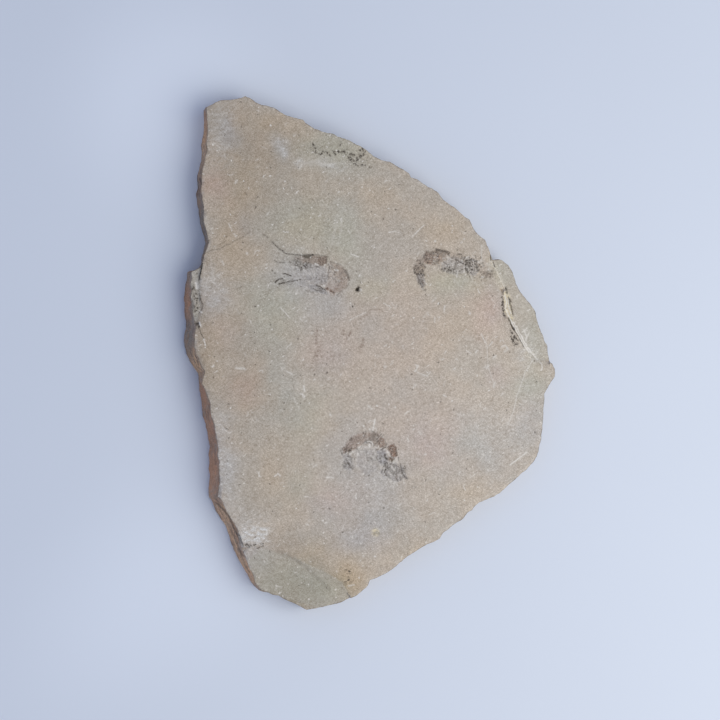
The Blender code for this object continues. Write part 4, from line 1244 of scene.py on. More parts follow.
# %% Ledges that have worn round: radius in mm and line
SOFT_STEPS = [
    (1.7, LEDGE_LINES["bottom ledge"]),
    (1.2, [(520, 340), (533, 360), (550, 362)]),
    (0.45, LEDGE_LINES["right ledge"]),
    (0.80, [(199.5, 281), (200, 296)]),
    (0.80, [(203, 304), (199, 316), (196, 322)]),
]


def packed_height(points):
    """Height (mm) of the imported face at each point."""
    return np.array([(height_under(x, y) or (FACE, 1.0))[0] for x, y in points])


def round_steps(height, points, moved, from_edge):
    """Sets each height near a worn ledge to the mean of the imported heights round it."""
    turns = np.arange(8) * math.pi / 4
    circle = np.stack([np.cos(turns), np.sin(turns)], 1)
    for radius, places in reversed(SOFT_STEPS):
        where = (route_distance(points, on_face(*places)) < radius * 1.3) & (from_edge > radius)
        offsets = np.vstack([circle * radius, circle * radius * 0.5, [(0.0, 0.0)]])
        height[where] = np.mean([packed_height(moved[where] + off) for off in offsets], axis=0)


print("the packed face is", packed_height([(0.0, 0.0)])[0].round(2), "mm high at the middle")

# %% The eroded vein, and the depth, size and seed of each swell (mm)
VEIN_AREA = [(503, 293), (506, 290), (509.5, 295), (510.5, 303), (512.5, 315), (513.5, 326),
             (510.5, 322), (507.5, 316), (503.8, 312), (504.5, 303)]
VEIN_SINK = 0.32
SWELLS = [(0.07, 16.0, 7), (0.035, 4.0, 8), (0.012, 1.4, 9)]
STRAY = 0.22
RIM_BREAK = 0.9
RIM_BITE = 0.38
FACE_SINK = 0.04


def face_height(points, from_edge):
    """Height (mm) of the finished face over each point."""
    in_space = flat3(points)
    fade = ease(from_edge, 0.3, 1.5)[:, None]
    moved = points + fade * STRAY * np.stack([ripple(in_space, 1.1, 5), ripple(in_space, 1.1, 6)], 1)
    height = packed_height(moved)
    round_steps(height, points, moved, from_edge)
    for depth, size, seed in SWELLS:
        height += depth * ripple(in_space, size, seed)
    in_vein = outline_distance(points, on_face(*VEIN_AREA)) < 0.35
    filled = FACE - VEIN_SINK + 0.16 * ripple(in_space, 0.7, 15)
    height = np.where(in_vein, np.maximum(height, filled), height)
    bite = ease(ripple(in_space, 2.6, 10), -0.25, 0.45)
    return height - bite * RIM_BITE * (1.0 - ease(from_edge, 0.0, RIM_BREAK)) - FACE_SINK


net_height = face_height(net, from_rim)
print(f"face heights {net_height.min():.2f} to {net_height.max():.2f} mm")

# %% Let the rim follow the bitten face
BITE_BACK = 0.25
bitten = np.minimum(face_height(rim_line - outward * BITE_BACK, np.zeros(len(rim_line))), rows[0])
first_step = rows[ROWS_PER_BED].copy()
left_over = (bitten - first_step) / (rows[0] - first_step)
rows[:ROWS_PER_BED] = first_step + (rows[:ROWS_PER_BED] - first_step) * left_over
print(f"rim heights {rows[0].min():.2f} to {rows[0].max():.2f} mm")

# %% [markdown]
# ## One closed plate
#
# Face, broken edge and underside have to meet point for point, or light would leak in
# along the rim. So they share the points of the rim and the foot, and every row of the
# edge is joined to the next one by four-sided faces.

# %% Triangulate inside a closed line
def triangles_inside(line, points):
    """Triangles over a closed line and the points inside it; the line's points come first."""
    count = len(line)
    spots = [Vector(p) for p in np.vstack([line, points])]
    ring = [(k, (k + 1) % count) for k in range(count)]
    _, _, faces, origins, _, _ = geometry.delaunay_2d_cdt(spots, ring, [], 1, 1e-7, True)
    first = np.array([origin[0] for origin in origins])
    faces = first[np.array(faces)]
    all_on_line = (faces < count).all(axis=1)
    middles = line[faces[all_on_line]].mean(axis=1)
    keep = np.ones(len(faces), bool)
    keep[all_on_line] = outline_distance(middles, line) < 0
    return [tuple(face) for face in faces[keep].tolist()]


# %% Points of the underside
UNDER_SPACING = 2.5
UNDER_CLEAR = 1.0


def underside(foot):
    """Points (mm) of the underside and how far each is lifted off the table (mm)."""
    under = honeycomb(rim_low, rim_high, UNDER_SPACING, 3)
    under = under[outline_distance(under, foot) < -UNDER_CLEAR]
    lift = 0.16 * ripple(flat3(under), 9.0, 13) + 0.05 * ripple(flat3(under), 3.0, 14)
    return under, np.maximum(0.0, lift)


foot = edge[-1]
under, under_lift = underside(foot)
print(len(under), "points below, lifted by", under_lift.max().round(2), "mm at most")

# %% Join face, broken edge and underside
def build_slab():
    """The dressed plate as one closed mesh."""
    count = len(rim_line)
    faces = triangles_inside(rim_line, net)
    top = np.vstack([np.column_stack([rim_line, rows[0]]), np.column_stack([net, net_height])])
    parts = [top]
    ring = list(range(count))
    start = len(top)
    for k in range(1, len(rows)):
        parts.append(np.column_stack([edge[k], rows[k]]))
        below = list(range(start, start + count))
        for i in range(count):
            j = (i + 1) % count
            faces.append((ring[j], ring[i], below[i], below[j]))
        ring = below
        start += count
    parts.append(np.column_stack([under, under_lift]))
    index = ring + list(range(start, start + len(under)))
    faces += [tuple(index[k] for k in face[::-1]) for face in triangles_inside(foot, under)]
    points = np.vstack(parts)
    mesh = bpy.data.meshes.new("stone plate")
    mesh.from_pydata((points * MM).tolist(), [], faces)
    mesh.validate()
    return mesh, points


slab_mesh, slab_points = build_slab()
print(len(slab_mesh.vertices), "vertices,", len(slab_mesh.polygons), "faces")

# %% Make sure the mesh is closed and faces out
SHARP = math.radians(38.0)


def close_and_turn_out(mesh):
    """Turns all faces outwards and reports open edges."""
    working = bmesh.new()
    working.from_mesh(mesh)
    bmesh.ops.recalc_face_normals(working, faces=working.faces)
    if working.calc_volume(signed=True) < 0:
        bmesh.ops.reverse_faces(working, faces=working.faces)
    open_edges = sum(1 for e in working.edges if not e.is_manifold)
    working.to_mesh(mesh)
    working.free()
    mesh.shade_smooth()
    mesh.set_sharp_from_angle(angle=SHARP)
    print(mesh.name, "open edges:", open_edges)


close_and_turn_out(slab_mesh)
slab = bpy.data.objects.new("stone_plate", slab_mesh)
bpy.context.scene.collection.objects.link(slab)

# %% [markdown]
# ## Paint for the plate
#
# Scratches, chalk and film lie on the old face, and the broken edge cuts through them.
# So the face is painted first, most of it is taken off the edge again, and the edge gets
# its own stains: brown all over, with ochre, red and grey where water has run. The rim
# gets a thin dark line of painted shade.

# %% Store painted layers on a mesh
FILM_LAYERS = ["film", "rust", "olive", "slate"]
STONE_LAYERS = ["chalk", "dark", "pale", "cream", "ledge", "wall", "speckle", "ochre", "red", "grey"]
STONE_LAYERS += FILM_LAYERS


def keep_layers(mesh, brush):
    """Stores the brush's layers as attributes of the mesh, one value per vertex."""
    for name in STONE_LAYERS:
        values = brush.layers.get(name, np.zeros(len(brush.at)))
        mesh.attributes.new(name, "FLOAT", "POINT").data.foreach_set("value", values)
    colour = np.column_stack([brush.tint, np.ones(len(brush.at))])
    mesh.attributes.new("tint", "FLOAT_COLOR", "POINT").data.foreach_set("color", colour.ravel())


print(len(STONE_LAYERS), "layers for each mesh")

# %% Paint the face
slab_brush = paint_stone(seen_on_face(slab_points))
for drawn in FOSSILS.values():
    paint_film(slab_brush, drawn)
print("painted so far:", ", ".join(slab_brush.layers))

# %% Take it off the broken edge, stain the rim and paint a thin line of shade along it
KEPT_ON_EDGE = {"chalk": 0.15, "dark": 0.15, "pale": 0.15, **dict.fromkeys(FILM_LAYERS, 0.0)}
on_wall = np.zeros(len(slab_points))
on_wall[len(rim_line) + len(net):] = 1.0
for name, kept in KEPT_ON_EDGE.items():
    slab_brush.layers[name] *= 1.0 - (1.0 - kept) * on_wall
slab_brush.lay("wall", slice(None), on_wall)
rim_shade_and_stain = ease(ripple(flat3(rim_line), 1.6, 16), -0.3, 0.5)
slab_brush.layers["wall"][:len(rim_line)] = 0.25 * rim_shade_and_stain
# Every rim point gets a dark line: painted shade along the edge, darker and browner where the rim stain
# falls
slab_brush.layers["dark"][:len(rim_line)] = 0.30 + 0.40 * rim_shade_and_stain
rim_chips = ease(ripple(flat3(net), 1.1, 17), 0.15, 0.5) * (1 - ease(from_rim, 0.3, 1.2))
slab_brush.lay("pale", slice(len(rim_line), len(rim_line) + len(net)), 0.4 * rim_chips)
print(int(on_wall.sum()), "points on the edge and below")

# %% Outlines of the areas with their own look
OCHRE_AREA = [(215, 505), (224, 500), (236, 532), (239, 551), (262, 580), (250, 585), (232, 548)]
CHALK_PATCH = [(240, 529), (252, 527), (268, 527.5), (267, 536), (262, 545), (247, 545.5), (243, 541)]
VEIN_TOP = [(484, 256), (492, 258), (496, 270), (505, 288), (500, 290), (490, 272)]
RIGHT_LEDGE_AREA = [(492, 258), (497, 268), (505, 288), (512, 320), (522, 345), (533, 360), (552, 361),
                    (552, 330), (530, 280), (500, 255)]
LEFT_CHIP_AREA = [(184, 264), (203, 264), (200, 280), (201, 304), (197, 322), (188, 330), (180, 300)]
BOTTOM_LEDGE_AREA = [(262, 548), (290, 556), (325, 572), (342, 582), (352, 600), (330, 612), (260, 590),
                     (248, 560)]
AREAS = [
    ("cream", VEIN_AREA, 0.35, 0.90), ("cream", VEIN_TOP, 1.2, 0.18), ("ochre", OCHRE_AREA, 1.0, 0.62),
    ("chalk", CHALK_PATCH, 0.7, 0.85), ("ledge", RIGHT_LEDGE_AREA, 0.2, 0.8),
    ("ledge", BOTTOM_LEDGE_AREA, 0.3, 1.0), ("ledge", LEFT_CHIP_AREA, 0.3, 1.0),
]
for layer, outline, soft, strength in AREAS:
    slab_brush.area(layer, outline, soft, strength)
print(len(AREAS), "areas painted")

# %% Speckled places and one yellow spot with a dark streak
SPECKLED = [(317, 149, 10, 5), (355, 158, 14, 8), (513, 338, 4, 7), (503.5, 306, 1.6, 9),
            (348, 577, 6, 8)]
YELLOW_SPOT = (375.5, 532.5)
SPOT_STREAK = [(373.5, 534), (376.5, 532.8), (379, 533.6)]
for place in SPECKLED:
    slab_brush.lay("speckle", slice(None), 0.6 * slab_brush.cloud(*place) * (1 - on_wall))
slab_brush.spot("cream", YELLOW_SPOT, 1.5, 0.9)
slab_brush.stroke("olive", SPOT_STREAK, 0.9, 0.5)
print(len(SPECKLED), "speckled places")

# %% Stains and dark streaks of the broken edge
WALL_STAINS = [
    ("ochre", 1.5, 198, 361, 7, 12), ("ochre", 0.8, 204, 145, 4, 20),
    ("ochre", 0.70, 226, 520, 8, 12), ("red", 0.9, 204, 128, 4, 12),
    ("grey", 1.0, 189, 338, 5, 12), ("grey", 0.9, 192, 276, 4, 12),
    ("grey", 0.9, 205, 376, 4, 6), ("grey", 0.7, 194, 318, 3, 26), ("red", 1.0, 186, 300, 4, 14),
    ("red", 1.0, 204, 396, 5, 12), ("red", 1.0, 210, 430, 5, 14), ("red", 1.0, 211, 470, 6, 22),
    ("red", 1.0, 250, 566, 6, 9), ("grey", 1.0, 203, 228, 4, 26), ("grey", 0.3, 203, 165, 4, 18),
    ("grey", 0.8, 212, 492, 4, 6), ("grey", 0.7, 246, 560, 3, 12), ("grey", 0.8, 270, 590, 14, 8),
    ("dark", 0.42, 203, 222, 4, 24), ("dark", 0.30, 189, 340, 5, 14), ("dark", 0.30, 184, 296, 2, 20),
]
WALL_STREAKS = [
    (0.60, 0.75, [(216.5, 503), (224, 510), (229, 516), (233, 526), (238, 536), (242, 543)]),
    (0.40, 0.45, [(226, 518), (231, 530), (237, 544)]),
    (0.40, 0.55, [(236, 541), (240.5, 553), (246, 567), (250, 573)]),
]
for layer, strength, *place in WALL_STAINS:
    slab_brush.lay(layer, slice(None), strength * slab_brush.cloud(*place) * on_wall)
for width, strength, places in WALL_STREAKS:
    slab_brush.stroke("dark", places, width, strength)
keep_layers(slab_mesh, slab_brush)
print(len(WALL_STAINS), "stains and", len(WALL_STREAKS), "streaks on the edge")

# %% [markdown]
# ## Writing a material like a formula
#
# A stone material has dozens of nodes. Wired one by one they hide the idea, so a small
# class wraps a socket and lets ordinary arithmetic add the nodes: `1 - grain * 0.3` is
# two Math nodes. Colours go through Mix and Vector Math instead, because a Math node
# would turn them grey.

# %% The wire class
class Wire:
    """One output socket of a material, which arithmetic can build on."""

    def __init__(self, tree, socket):
        self.tree = tree
        self.socket = socket

    def node(self, kind, settings=None, inputs=None, output=0):
        """Adds a node. Settings are set first, then the values or links of its sockets."""
        made = self.tree.nodes.new(kind)
        for name, value in (settings or {}).items():
            setattr(made, name, value)
        for name, value in (inputs or {}).items():
            socket = made.inputs[name]
            if isinstance(value, Wire):
                self.tree.links.new(value.socket, socket)
            else:
                socket.default_value = value
        return Wire(self.tree, made.outputs[output])

    def math(self, operation, *values):
        return self.node("ShaderNodeMath", {"operation": operation}, dict(enumerate(values)))

    def __add__(self, other):
        return self.math("ADD", self, other)

    def __radd__(self, other):
        return self.math("ADD", other, self)

    def __sub__(self, other):
        return self.math("SUBTRACT", self, other)

    def __rsub__(self, other):
        return self.math("SUBTRACT", other, self)

    def __mul__(self, other):
        return self.math("MULTIPLY", self, other)

    def __rmul__(self, other):
        return self.math("MULTIPLY", other, self)

    def clamp(self):
        return self.node("ShaderNodeClamp", None, {"Value": self})

    def step(self, low, high):
        """0 below low, 1 above high and smooth between."""
        return self.node("ShaderNodeMapRange", {"interpolation_type": "SMOOTHSTEP"},
                         {"Value": self, "From Min": low, "From Max": high})

    def vector(self, operation, *values):
        return self.node("ShaderNodeVectorMath", {"operation": operation}, dict(enumerate(values)))

    def scaled(self, factor):
        """This colour or vector times one number."""
        return self.node("ShaderNodeVectorMath", {"operation": "SCALE"}, {"Vector": self, "Scale": factor})

    def paint(self, colour):
        """A plain colour to start mixing from."""
        return self.node("ShaderNodeMix", {"data_type": "RGBA"}, {0: 0.0, 6: (*colour, 1.0)}, 2)

    def mix(self, factor, colour):
        """This colour mixed with another by a factor."""
        other = colour if isinstance(colour, Wire) else (*colour, 1.0)
        return self.node("ShaderNodeMix", {"data_type": "RGBA"}, {0: factor, 6: self, 7: other}, 2)

    def value_of(self, name):
        """A painted layer of the mesh."""
        return self.node("ShaderNodeAttribute", {"attribute_name": name}, None, 2)

    def brushed(self, degrees, stretch):
        """This place turned and squeezed, so that noise on it turns into short strokes."""
        turned = self.node("ShaderNodeVectorRotate", {"rotation_type": "Z_AXIS"},
                           {"Vector": self, "Angle": math.radians(degrees)})
        return turned.vector("MULTIPLY", turned, (1.0 / stretch, 1.0, 1.0))

    def cloud(self, size, detail=2.0, seed=0.0):
        """Cloudy noise, about 0 to 1, with lumps of `size` mm, on a place given in mm."""
        moved = self.vector("ADD", self, (seed * 31.0, seed * -17.0, seed * 7.0))
        return self.node("ShaderNodeTexNoise", None,
                         {"Vector": moved, "Scale": 1.0 / size, "Detail": detail, "Roughness": 0.5})

    def wobbled(self, amount, size, seed=0.0):
        """This place moved by up to about `amount` mm, so that round marks turn ragged."""
        drawn = self.cloud(size, 1, seed).beside(1)
        either_way = drawn.vector("SUBTRACT", drawn, (0.5, 0.5, 0.5))
        return self.vector("ADD", self, either_way.scaled(4.0 * amount))

    def cells(self, size, seed=0.0):
        """Distance to points scattered about `size` mm apart; output 1 is a random colour."""
        moved = self.vector("ADD", self, (seed * 13.0, seed * 29.0, seed * -5.0))
        return self.node("ShaderNodeTexVoronoi", {"voronoi_dimensions": "2D"},
                         {"Vector": moved, "Scale": 1.0 / size})

    def beside(self, output):
        """Another output of the same node."""
        return Wire(self.tree, self.socket.node.outputs[output])


# %% Start a material
def new_material(name):
    """A new material, its place wire in millimetres and its shader node."""
    material = bpy.data.materials.new(name)
    material.use_nodes = True
    tree = material.node_tree
    tree.nodes.clear()
    finish = tree.nodes.new("ShaderNodeOutputMaterial")
    shader = tree.nodes.new("ShaderNodeBsdfPrincipled")
    tree.links.new(shader.outputs[0], finish.inputs[0])
    place = Wire(tree, tree.nodes.new("ShaderNodeTexCoord").outputs["Object"])
    return material, place.vector("MULTIPLY", place, (1 / MM, 1 / MM, 1 / MM)), shader


# %% [markdown]
# ## Limestone
#
# Fine limestone is beige grey. Close up it is a fine pepper of lighter and darker grains,
# with short chalky scratches and a few dark specks. Each size of grain is one cloud of
# noise, and the painted layers go over them. The broken edge is browner, because old
# weather stained it, and its colour runs in thin level bands like its beds.

# %% Colours of the stone
BEIGE = (0.503, 0.438, 0.370)
WARM = (0.523, 0.440, 0.360)
GREY = (0.475, 0.434, 0.386)
CHALK_WHITE = (0.64, 0.63, 0.62)
FLECK_WHITE = (0.74, 0.70, 0.65)
DARK_LINE = (0.085, 0.070, 0.055)
CREAM = (0.74, 0.640, 0.450)
GRAIN_LIGHT = (0.90, 1.00, 1.12)
LEDGE_GREY = (0.425, 0.395, 0.340)
print("beige:", BEIGE, "is lighter than grey:", GREY)

# %% Colours of the broken edge
EDGE_BROWN = (0.37, 0.225, 0.150)
EDGE_DARK = (0.15, 0.120, 0.105)
EDGE_GREY = (0.370, 0.315, 0.268)
EDGE_RED = (0.51, 0.285, 0.180)
EDGE_OCHRE = (0.70, 0.460, 0.280)
print("brown:", EDGE_BROWN, "on most of the edge")

# %% Colours of the film of shell
SHELL_BROWN = (0.240, 0.165, 0.125)
SHELL_RUST = (0.315, 0.185, 0.130)
SHELL_OLIVE = (0.190, 0.165, 0.120)
SHELL_SLATE = (0.330, 0.315, 0.325)
SHELL_DARK = (0.090, 0.072, 0.058)
print("a colour for each of the layers:", ", ".join(FILM_LAYERS))

# %% Scattered flecks
def fleck(place, size, seed, share, radius):
    """Scattered small marks: 1 inside a mark, for a share of the scattered points."""
    spots = place.cells(size, seed)
    random_red = place.node("ShaderNodeSeparateColor", None, {0: spots.beside(1)})
    return (1 - spots.step(radius * 0.6, radius)) * random_red.step(1 - share, 1 - share + 0.02)


# %% Colour of the stone before its grain
def stone_colour(place):
    """Colour of the plain and weathered face, before its grain."""
    warmth = place.cloud(14, 3, 5).step(0.35, 0.65)
    colour = place.paint(GREY).mix(warmth, WARM).mix(0.5, BEIGE)
    # the added colour clouds hold real tints and also painted shade on the left and painted light on the
    # right
    tint = place.node("ShaderNodeAttribute", {"attribute_name": "tint"}, None, 0)
    colour = colour.vector("ADD", colour, tint)
    colour = colour.mix(place.value_of("ledge") * 0.60, LEDGE_GREY)
    scratchy = place.vector("MULTIPLY", place, (0.55, 1.0, 1.0)).cloud(1.1, 3, 6).step(0.42, 0.62)
    colour = colour.mix((place.value_of("chalk") * (0.35 + scratchy * 0.65)).clamp(), CHALK_WHITE)
    cream = place.value_of("cream") * (0.35 + place.cloud(0.9, 3, 19).step(0.38, 0.58) * 0.65)
    return colour.mix(cream, CREAM)


# %% Colour of the broken edge
def edge_colour(place, stone):
    """Brown stone with dark, red and ochre bands that follow the beds."""
    bent = place.wobbled(0.25, 2.0, 20)
    thin = bent.vector("MULTIPLY", bent, (0.15, 0.15, 1.0))
    colour = stone.mix(0.85, EDGE_BROWN)
    colour = colour.mix(thin.cloud(1.3, 3, 9).step(0.47, 0.57) * 0.80, EDGE_DARK)
    colour = colour.mix(place.cloud(3, 3, 10).step(0.50, 0.60) * 0.65, EDGE_GREY)
    colour = colour.mix(place.value_of("grey").clamp(), EDGE_GREY)
    red = place.value_of("red") + place.cloud(2.2, 3, 13).step(0.55, 0.66) * 0.5
    colour = colour.mix((red * 0.85).clamp(), EDGE_RED)
    ochre = place.value_of("ochre") * (0.30 + thin.cloud(0.45, 3, 11).step(0.42, 0.54) * 0.70)
    colour = colour.mix(ochre.clamp(), EDGE_OCHRE)
    black = place.value_of("ochre") * thin.cloud(0.55, 2, 21).step(0.56, 0.62)
    return colour.mix(black * 0.7, EDGE_DARK)


# %% Colour of the film of shell
def shell_over(place, colour, crumb):
    """A thin stain over a colour, thicker and darker where crumbs of shell are left."""
    body = 0.0
    for layer, shell in zip(FILM_LAYERS, (SHELL_BROWN, SHELL_RUST, SHELL_OLIVE, SHELL_SLATE)):
        value = place.value_of(layer)
        colour = colour.mix((value * (0.64 + crumb * 0.44)).clamp(), shell)
        body = body + value
    body = body.clamp()
    dots = (body * 0.55 + (place.cloud(0.40, 1, 16) - 0.5) * 3.0).step(0.50, 0.85) * body
    colour = colour.mix((dots * 0.75).clamp(), SHELL_DARK)
    lights = (body * 0.30 + (place.cloud(0.44, 1, 17) - 0.5) * 3.0).step(0.55, 0.90) * body
    return colour.mix((lights * 0.45).clamp(), FLECK_WHITE)


# %% Grain of the stone
def grain_level(place, grain, pepper):
    """How light the stone is, about 1: broad shades, grains and short strokes."""
    leaning = place.brushed(38, 3.0).cloud(0.40, 1, 14)
    falling = place.brushed(-32, 3.0).cloud(0.40, 1, 15)
    level = 1 + (place.cloud(24, 2, 1) - 0.5) * 0.10 + (place.cloud(6, 3, 2) - 0.5) * 0.22
    level = level + (grain - 0.5) * 0.34 + (pepper - 0.5) * 0.92 + (pepper - 0.62).clamp() * 1.2
    return level + (leaning - 0.5) * 0.42 + (falling - 0.5) * 0.42


def with_grain(colour, level):
    """A colour made lighter or darker by its grain, a little bluer where it is lighter."""
    whiter = colour.paint(GRAIN_LIGHT).scaled(level - 1)
    return colour.vector("MULTIPLY", colour, whiter.vector("ADD", whiter, (1, 1, 1)))


# %% Light and dark marks
def light_marks(place, ragged, crumb):
    """White flecks, chalky scratches and the painted light marks, 0 to 1."""
    gathered = place.cloud(11, 3, 22).step(0.40, 0.60)
    white = fleck(ragged, 4.6, 1, 0.24, 0.070) * 0.85
    white = white + fleck(ragged.brushed(40, 1.8), 2.1, 3, 0.24, 0.12) * gathered * 0.66
    white = white + fleck(ragged.brushed(-35, 3.0), 2.9, 5, 0.28, 0.10) * gathered * 0.66
    white = white * (1 - place.value_of("wall"))
    return (white + place.value_of("pale") * (0.40 + crumb * 0.85)).clamp()


def dark_marks(place, ragged, crumb):
    """Dark specks, crumbs of shell and the painted dark marks, 0 to 1."""
    crumbs = fleck(place.wobbled(0.16, 0.5, 8), 0.85, 8, 0.62, 0.27)
    crumbs = crumbs + place.cloud(0.50, 2, 8).step(0.56, 0.66) * 0.7
    dark = fleck(ragged, 5.0, 2, 0.30, 0.065) * (1 - place.value_of("wall")) * 0.6
    dark = dark + crumbs * place.value_of("speckle") * 0.8
    return (dark + place.value_of("dark") * (0.50 + crumb * 0.75)).clamp()


# %% The finish of the stone
STONE_ROUGH = 0.82
STONE_SHINE = 0.25
GRAIN_HEIGHT = 0.00012
STONE_RELIEF = 0.45


def limestone(name, bump):
    """The finish of the plate and of the film that lies in it."""
    material, place, shader = new_material(name)
    tree = place.tree
    grain = place.cloud(0.95, 2, 3)
    pepper = place.cloud(0.34, 1, 4)
    crumb = ((place.cloud(0.50, 2, 12) - 0.33) * 3.0).clamp()
    ragged = place.wobbled(0.30, 0.7, 18)
    stone = stone_colour(place)
    colour = stone.mix(place.value_of("wall"), edge_colour(place, stone))
    colour = with_grain(shell_over(place, colour, crumb), grain_level(place, grain, pepper))
    colour = colour.mix(light_marks(place, ragged, crumb), FLECK_WHITE)
    colour = colour.mix(dark_marks(place, ragged, crumb), DARK_LINE)
    tree.links.new(colour.socket, shader.inputs["Base Color"])
    rough = STONE_ROUGH + (grain - 0.5) * 0.2
    tree.links.new(rough.socket, shader.inputs["Roughness"])
    height = grain * 0.6 + pepper * 0.4
    relief = place.node("ShaderNodeBump", None,
                        {"Height": height, "Strength": bump, "Distance": GRAIN_HEIGHT})
    tree.links.new(relief.socket, shader.inputs["Normal"])
    shader.inputs["Specular IOR Level"].default_value = STONE_SHINE
    print(name, "has", len(tree.nodes), "nodes")
    return material


slab_mesh.materials.append(limestone("limestone", STONE_RELIEF))
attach(slab, "root")
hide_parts(SLAB)

# %% [markdown]
# ## From an outline to a thin closed film
#
# Each shrimp is its own closed body, a few tenths of a millimetre thick, set into the
# plate: its rim dives just under the stone, so only the swollen parts stand out. A fine
# square net is cut along the outline, its rim points are slid onto the line, and the two
# skins are joined all round. The abdomen gets a shallow groove between its plates.

# %% How far a point lies outside a shrimp
NET = 0.19
BODY_MARGIN = 0.15
LIMB_HALF = 0.34
FILM_DEPTH = 0.45


def film_distance(points, drawn):
    """Distance (mm) to a shrimp's outline, negative inside it."""
    bodies = [outline_distance(points, on_face(*places)) - BODY_MARGIN for places in drawn["body"]]
    limbs = [route_distance(points, on_face(*places)) - LIMB_HALF for places in drawn["limbs"]]
    return np.min(bodies + limbs, axis=0)


for name, drawn in FOSSILS.items():
    print(f"{name} is {film_distance(np.zeros((1, 2)), drawn)[0]:.1f} mm from the middle")

# %% Choose the squares of the net, and find the points they use
FILM_WANDER = (0.08, 0.9)


def squares_inside(drawn):
    """Net points (mm), how far each is from the outline, and which squares the film takes."""
    reach = np.vstack([on_face(*places) for places in drawn["body"] + drawn["limbs"]])
    low = reach.min(0) - 1.0
    high = reach.max(0) + 1.0
    x, y = np.meshgrid(np.arange(low[0], high[0], NET), np.arange(low[1], high[1], NET))
    points = np.stack([x, y], -1)
    ragged = wandering(points.reshape(-1, 2), *FILM_WANDER)
    far = film_distance(ragged, drawn).reshape(x.shape)
    middle = (far[1:, 1:] + far[1:, :-1] + far[:-1, 1:] + far[:-1, :-1]) / 4
    chosen = middle < 0.0
    while True:
        a, b = chosen[1:, 1:], chosen[:-1, :-1]
        c, d = chosen[1:, :-1], chosen[:-1, 1:]
        corner_only = (a & b & ~c & ~d) | (c & d & ~a & ~b)
        if not corner_only.any():
            return points, far, chosen
        for part in (a, b, c, d):
            part |= corner_only


def points_used(chosen):
    """Which net points a chosen square uses, and which of them lie on the rim."""
    framed = np.pad(chosen, 1)
    around = [framed[1:, 1:], framed[:-1, 1:], framed[1:, :-1], framed[:-1, :-1]]
    used = np.any(around, axis=0)
    return used, used & ~np.all(around, axis=0)


# %% Slide the rim points onto the outline
def slide_rim(points, far, rim):
    """The net points, with those of the rim moved along the slope of the distance."""
    slope_y, slope_x = np.gradient(far, NET)
    slope = np.stack([slope_x, slope_y], -1)
    steep = np.maximum(np.sum(slope * slope, axis=-1), 0.25)
    slide = np.clip(far / steep, -NET * 0.6, NET * 0.6)
    return np.where(rim[..., None], points - slide[..., None] * slope, points)


# %% Heights of a shrimp above the stone
SWELL = 0.17
LIMB_SWELL = 0.06
GROOVE = 0.06
TUCK = 0.05
WRINKLE = 0.025
INSIDE_RIM = 99.0


def film_height(points, far, drawn):
    """Height (mm) of a shrimp's upper skin at each point."""
    body = np.min([outline_distance(points, on_face(*places)) for places in drawn["body"]], axis=0)
    height = face_height(points, np.full(len(points), INSIDE_RIM))
    height += -TUCK * (1 - ease(-far, 0.0, 0.25)) + LIMB_SWELL * ease(-far, 0.05, 0.35)
    height += SWELL * ease(-body, 0.2, 2.4)
    for places in drawn["plates"]:
        near = 1 - ease(route_distance(points, on_face(*places)), 0.1, 0.55)
        height -= GROOVE * near * ease(-body, 0.1, 0.8)
    in_space = flat3(points)
    return height + WRINKLE * ripple(in_space, 0.9, 21) * ease(-far, 0.1, 0.5)


# %% Close the sides of a film
def side_faces(quads, count):
    """Faces between the rims of the two skins, one for each side that only one square has."""
    sides = set()
    for quad in quads:
        for a, b in zip(quad, quad[1:] + quad[:1]):
            if (b, a) in sides:
                sides.remove((b, a))
            else:
                sides.add((a, b))
    return [(b, a, a + count, b + count) for a, b in sorted(sides)]


print("one square has", len(side_faces([[0, 1, 2, 3]], 4)), "sides")

# %% Build one shrimp
def build_film(name, drawn):
    """One shrimp as a closed, painted mesh."""
    points, far, chosen = squares_inside(drawn)
    used, rim = points_used(chosen)
    number = np.cumsum(used).reshape(used.shape) - 1
    flat = slide_rim(points, far, rim)[used]
    top = film_height(flat, np.where(rim, 0.0, far)[used], drawn)
    count = len(flat)
    low, high = number[:-1, :], number[1:, :]
    quads = np.stack([low[:, :-1], low[:, 1:], high[:, 1:], high[:, :-1]], -1)[chosen]
    faces = quads.tolist() + (quads[:, ::-1] + count).tolist()
    faces += side_faces(quads.tolist(), count)
    skin = np.column_stack([flat, top])
    under = np.column_stack([flat, np.full(count, FACE - FILM_DEPTH)])
    solid = np.vstack([skin, under])
    mesh = bpy.data.meshes.new(name)
    mesh.from_pydata((solid * MM).tolist(), [], faces)
    close_and_turn_out(mesh)
    brush = paint_stone(seen_on_face(solid))
    paint_film(brush, drawn)
    keep_layers(mesh, brush)
    print(name, len(mesh.polygons), "faces")
    piece = bpy.data.objects.new(name + "_film", mesh)
    bpy.context.scene.collection.objects.link(piece)
    return piece


# %% Finish and place the shrimps
FILM_RELIEF = 0.5
film_finish = limestone("shrimp film", FILM_RELIEF)
for name, drawn in FOSSILS.items():
    piece = build_film(name, drawn)
    piece.data.materials.append(film_finish)
    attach(piece, "root")
    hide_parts(name)

# %% [markdown]
# ## Floor and light
#
# The plate lies on a plain pale surface. One broad soft light from the right, like a
# window, gives the wide, soft shadow on the left. Two small soft lamps lighten the shadow
# beside the two left tips, and a faint bluish surround fills the rest, as a room does.

# %% Floor
FLOOR_COLOUR = (0.665, 0.722, 0.842)
FLOOR_HALF = 2.0
FLOOR_ROUGH = 0.6


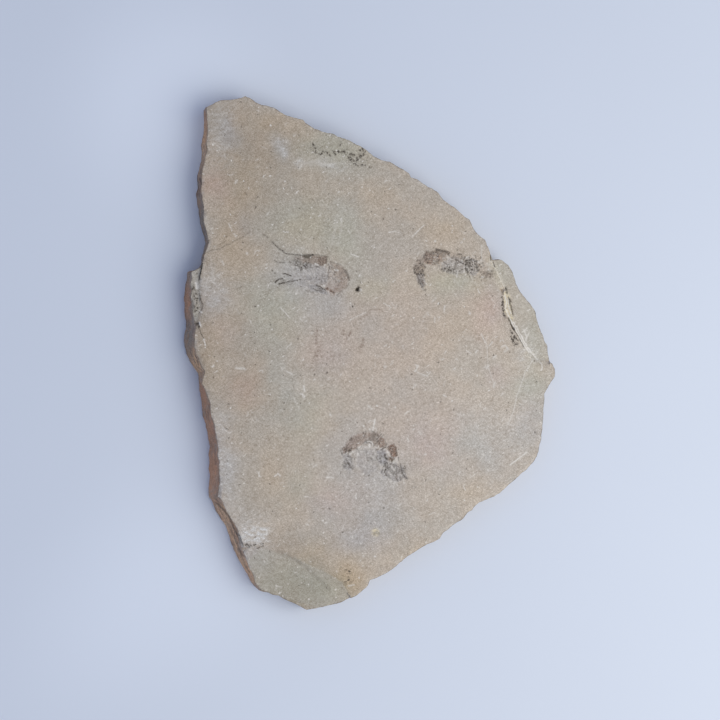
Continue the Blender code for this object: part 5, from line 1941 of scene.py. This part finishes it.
def build_floor():
    """A large pale surface under the plate."""
    mesh = bpy.data.meshes.new("table")
    corners = [(x * FLOOR_HALF, y * FLOOR_HALF, 0) for x, y in ((-1, -1), (1, -1), (1, 1), (-1, 1))]
    mesh.from_pydata(corners, [], [(0, 1, 2, 3)])
    material, place, shader = new_material("table top")
    mottle = 1 + (place.cloud(90, 2, 1) - 0.5) * 0.03
    colour = place.paint(FLOOR_COLOUR).scaled(mottle)
    place.tree.links.new(colour.socket, shader.inputs["Base Color"])
    shader.inputs["Roughness"].default_value = FLOOR_ROUGH
    mesh.materials.append(material)
    floor = bpy.data.objects.new("table", mesh)
    bpy.context.scene.collection.objects.link(floor)
    return floor


floor = build_floor()
print("floor:", [round(side, 2) for side in floor.dimensions], "m")

# %% Place a light
def place_light(light, place, target):
    """Hangs a light at one place (metres) and turns it towards another."""
    lamp = bpy.data.objects.new(light.name, light)
    lamp.location = place
    aim = Vector(target) - Vector(place)
    lamp.rotation_euler = aim.to_track_quat("-Z", "Y").to_euler()
    bpy.context.scene.collection.objects.link(lamp)


# %% The broad light from the window
window = bpy.data.lights.new("window", "AREA")
window.shape = "RECTANGLE"
window.size = 0.90
window.size_y = 0.90
window.energy = 6.06
window.color = (1.0, 0.964, 0.828)
place_light(window, (0.52, -0.20, 0.60), (0.0, 0.0, 0.0))
print("window light:", round(window.energy, 2), "W")

# %% Two small lamps beside the left tips
LAMP_RADIUS = 0.03


def spot_lamp(name, place, target, radius, watts):
    """A small soft lamp that opens up the shadow round one spot of the floor."""
    light = bpy.data.lights.new(name, "SPOT")
    light.energy = watts
    light.spot_blend = 1.0
    light.shadow_soft_size = LAMP_RADIUS
    light.spot_size = 2 * math.atan(radius / (Vector(target) - Vector(place)).length)
    place_light(light, place, target)


spot_lamp("upper lamp", (-0.10, 0.13, 0.50), (-0.069, 0.088, 0.0), 0.030, 1.6)
spot_lamp("lower lamp", (-0.26, -0.20, 0.15), (-0.064, -0.076, 0.0), 0.028, 0.8)

# %% The room
world = bpy.data.worlds.new("room")
world.use_nodes = True
surround = world.node_tree.nodes["Background"]
surround.inputs["Color"].default_value = (0.707, 0.785, 1.0, 1.0)
surround.inputs["Strength"].default_value = 0.493
bpy.context.scene.world = world
bpy.context.scene.view_settings.view_transform = "Standard"
print("surround strength:", round(surround.inputs["Strength"].default_value, 3))
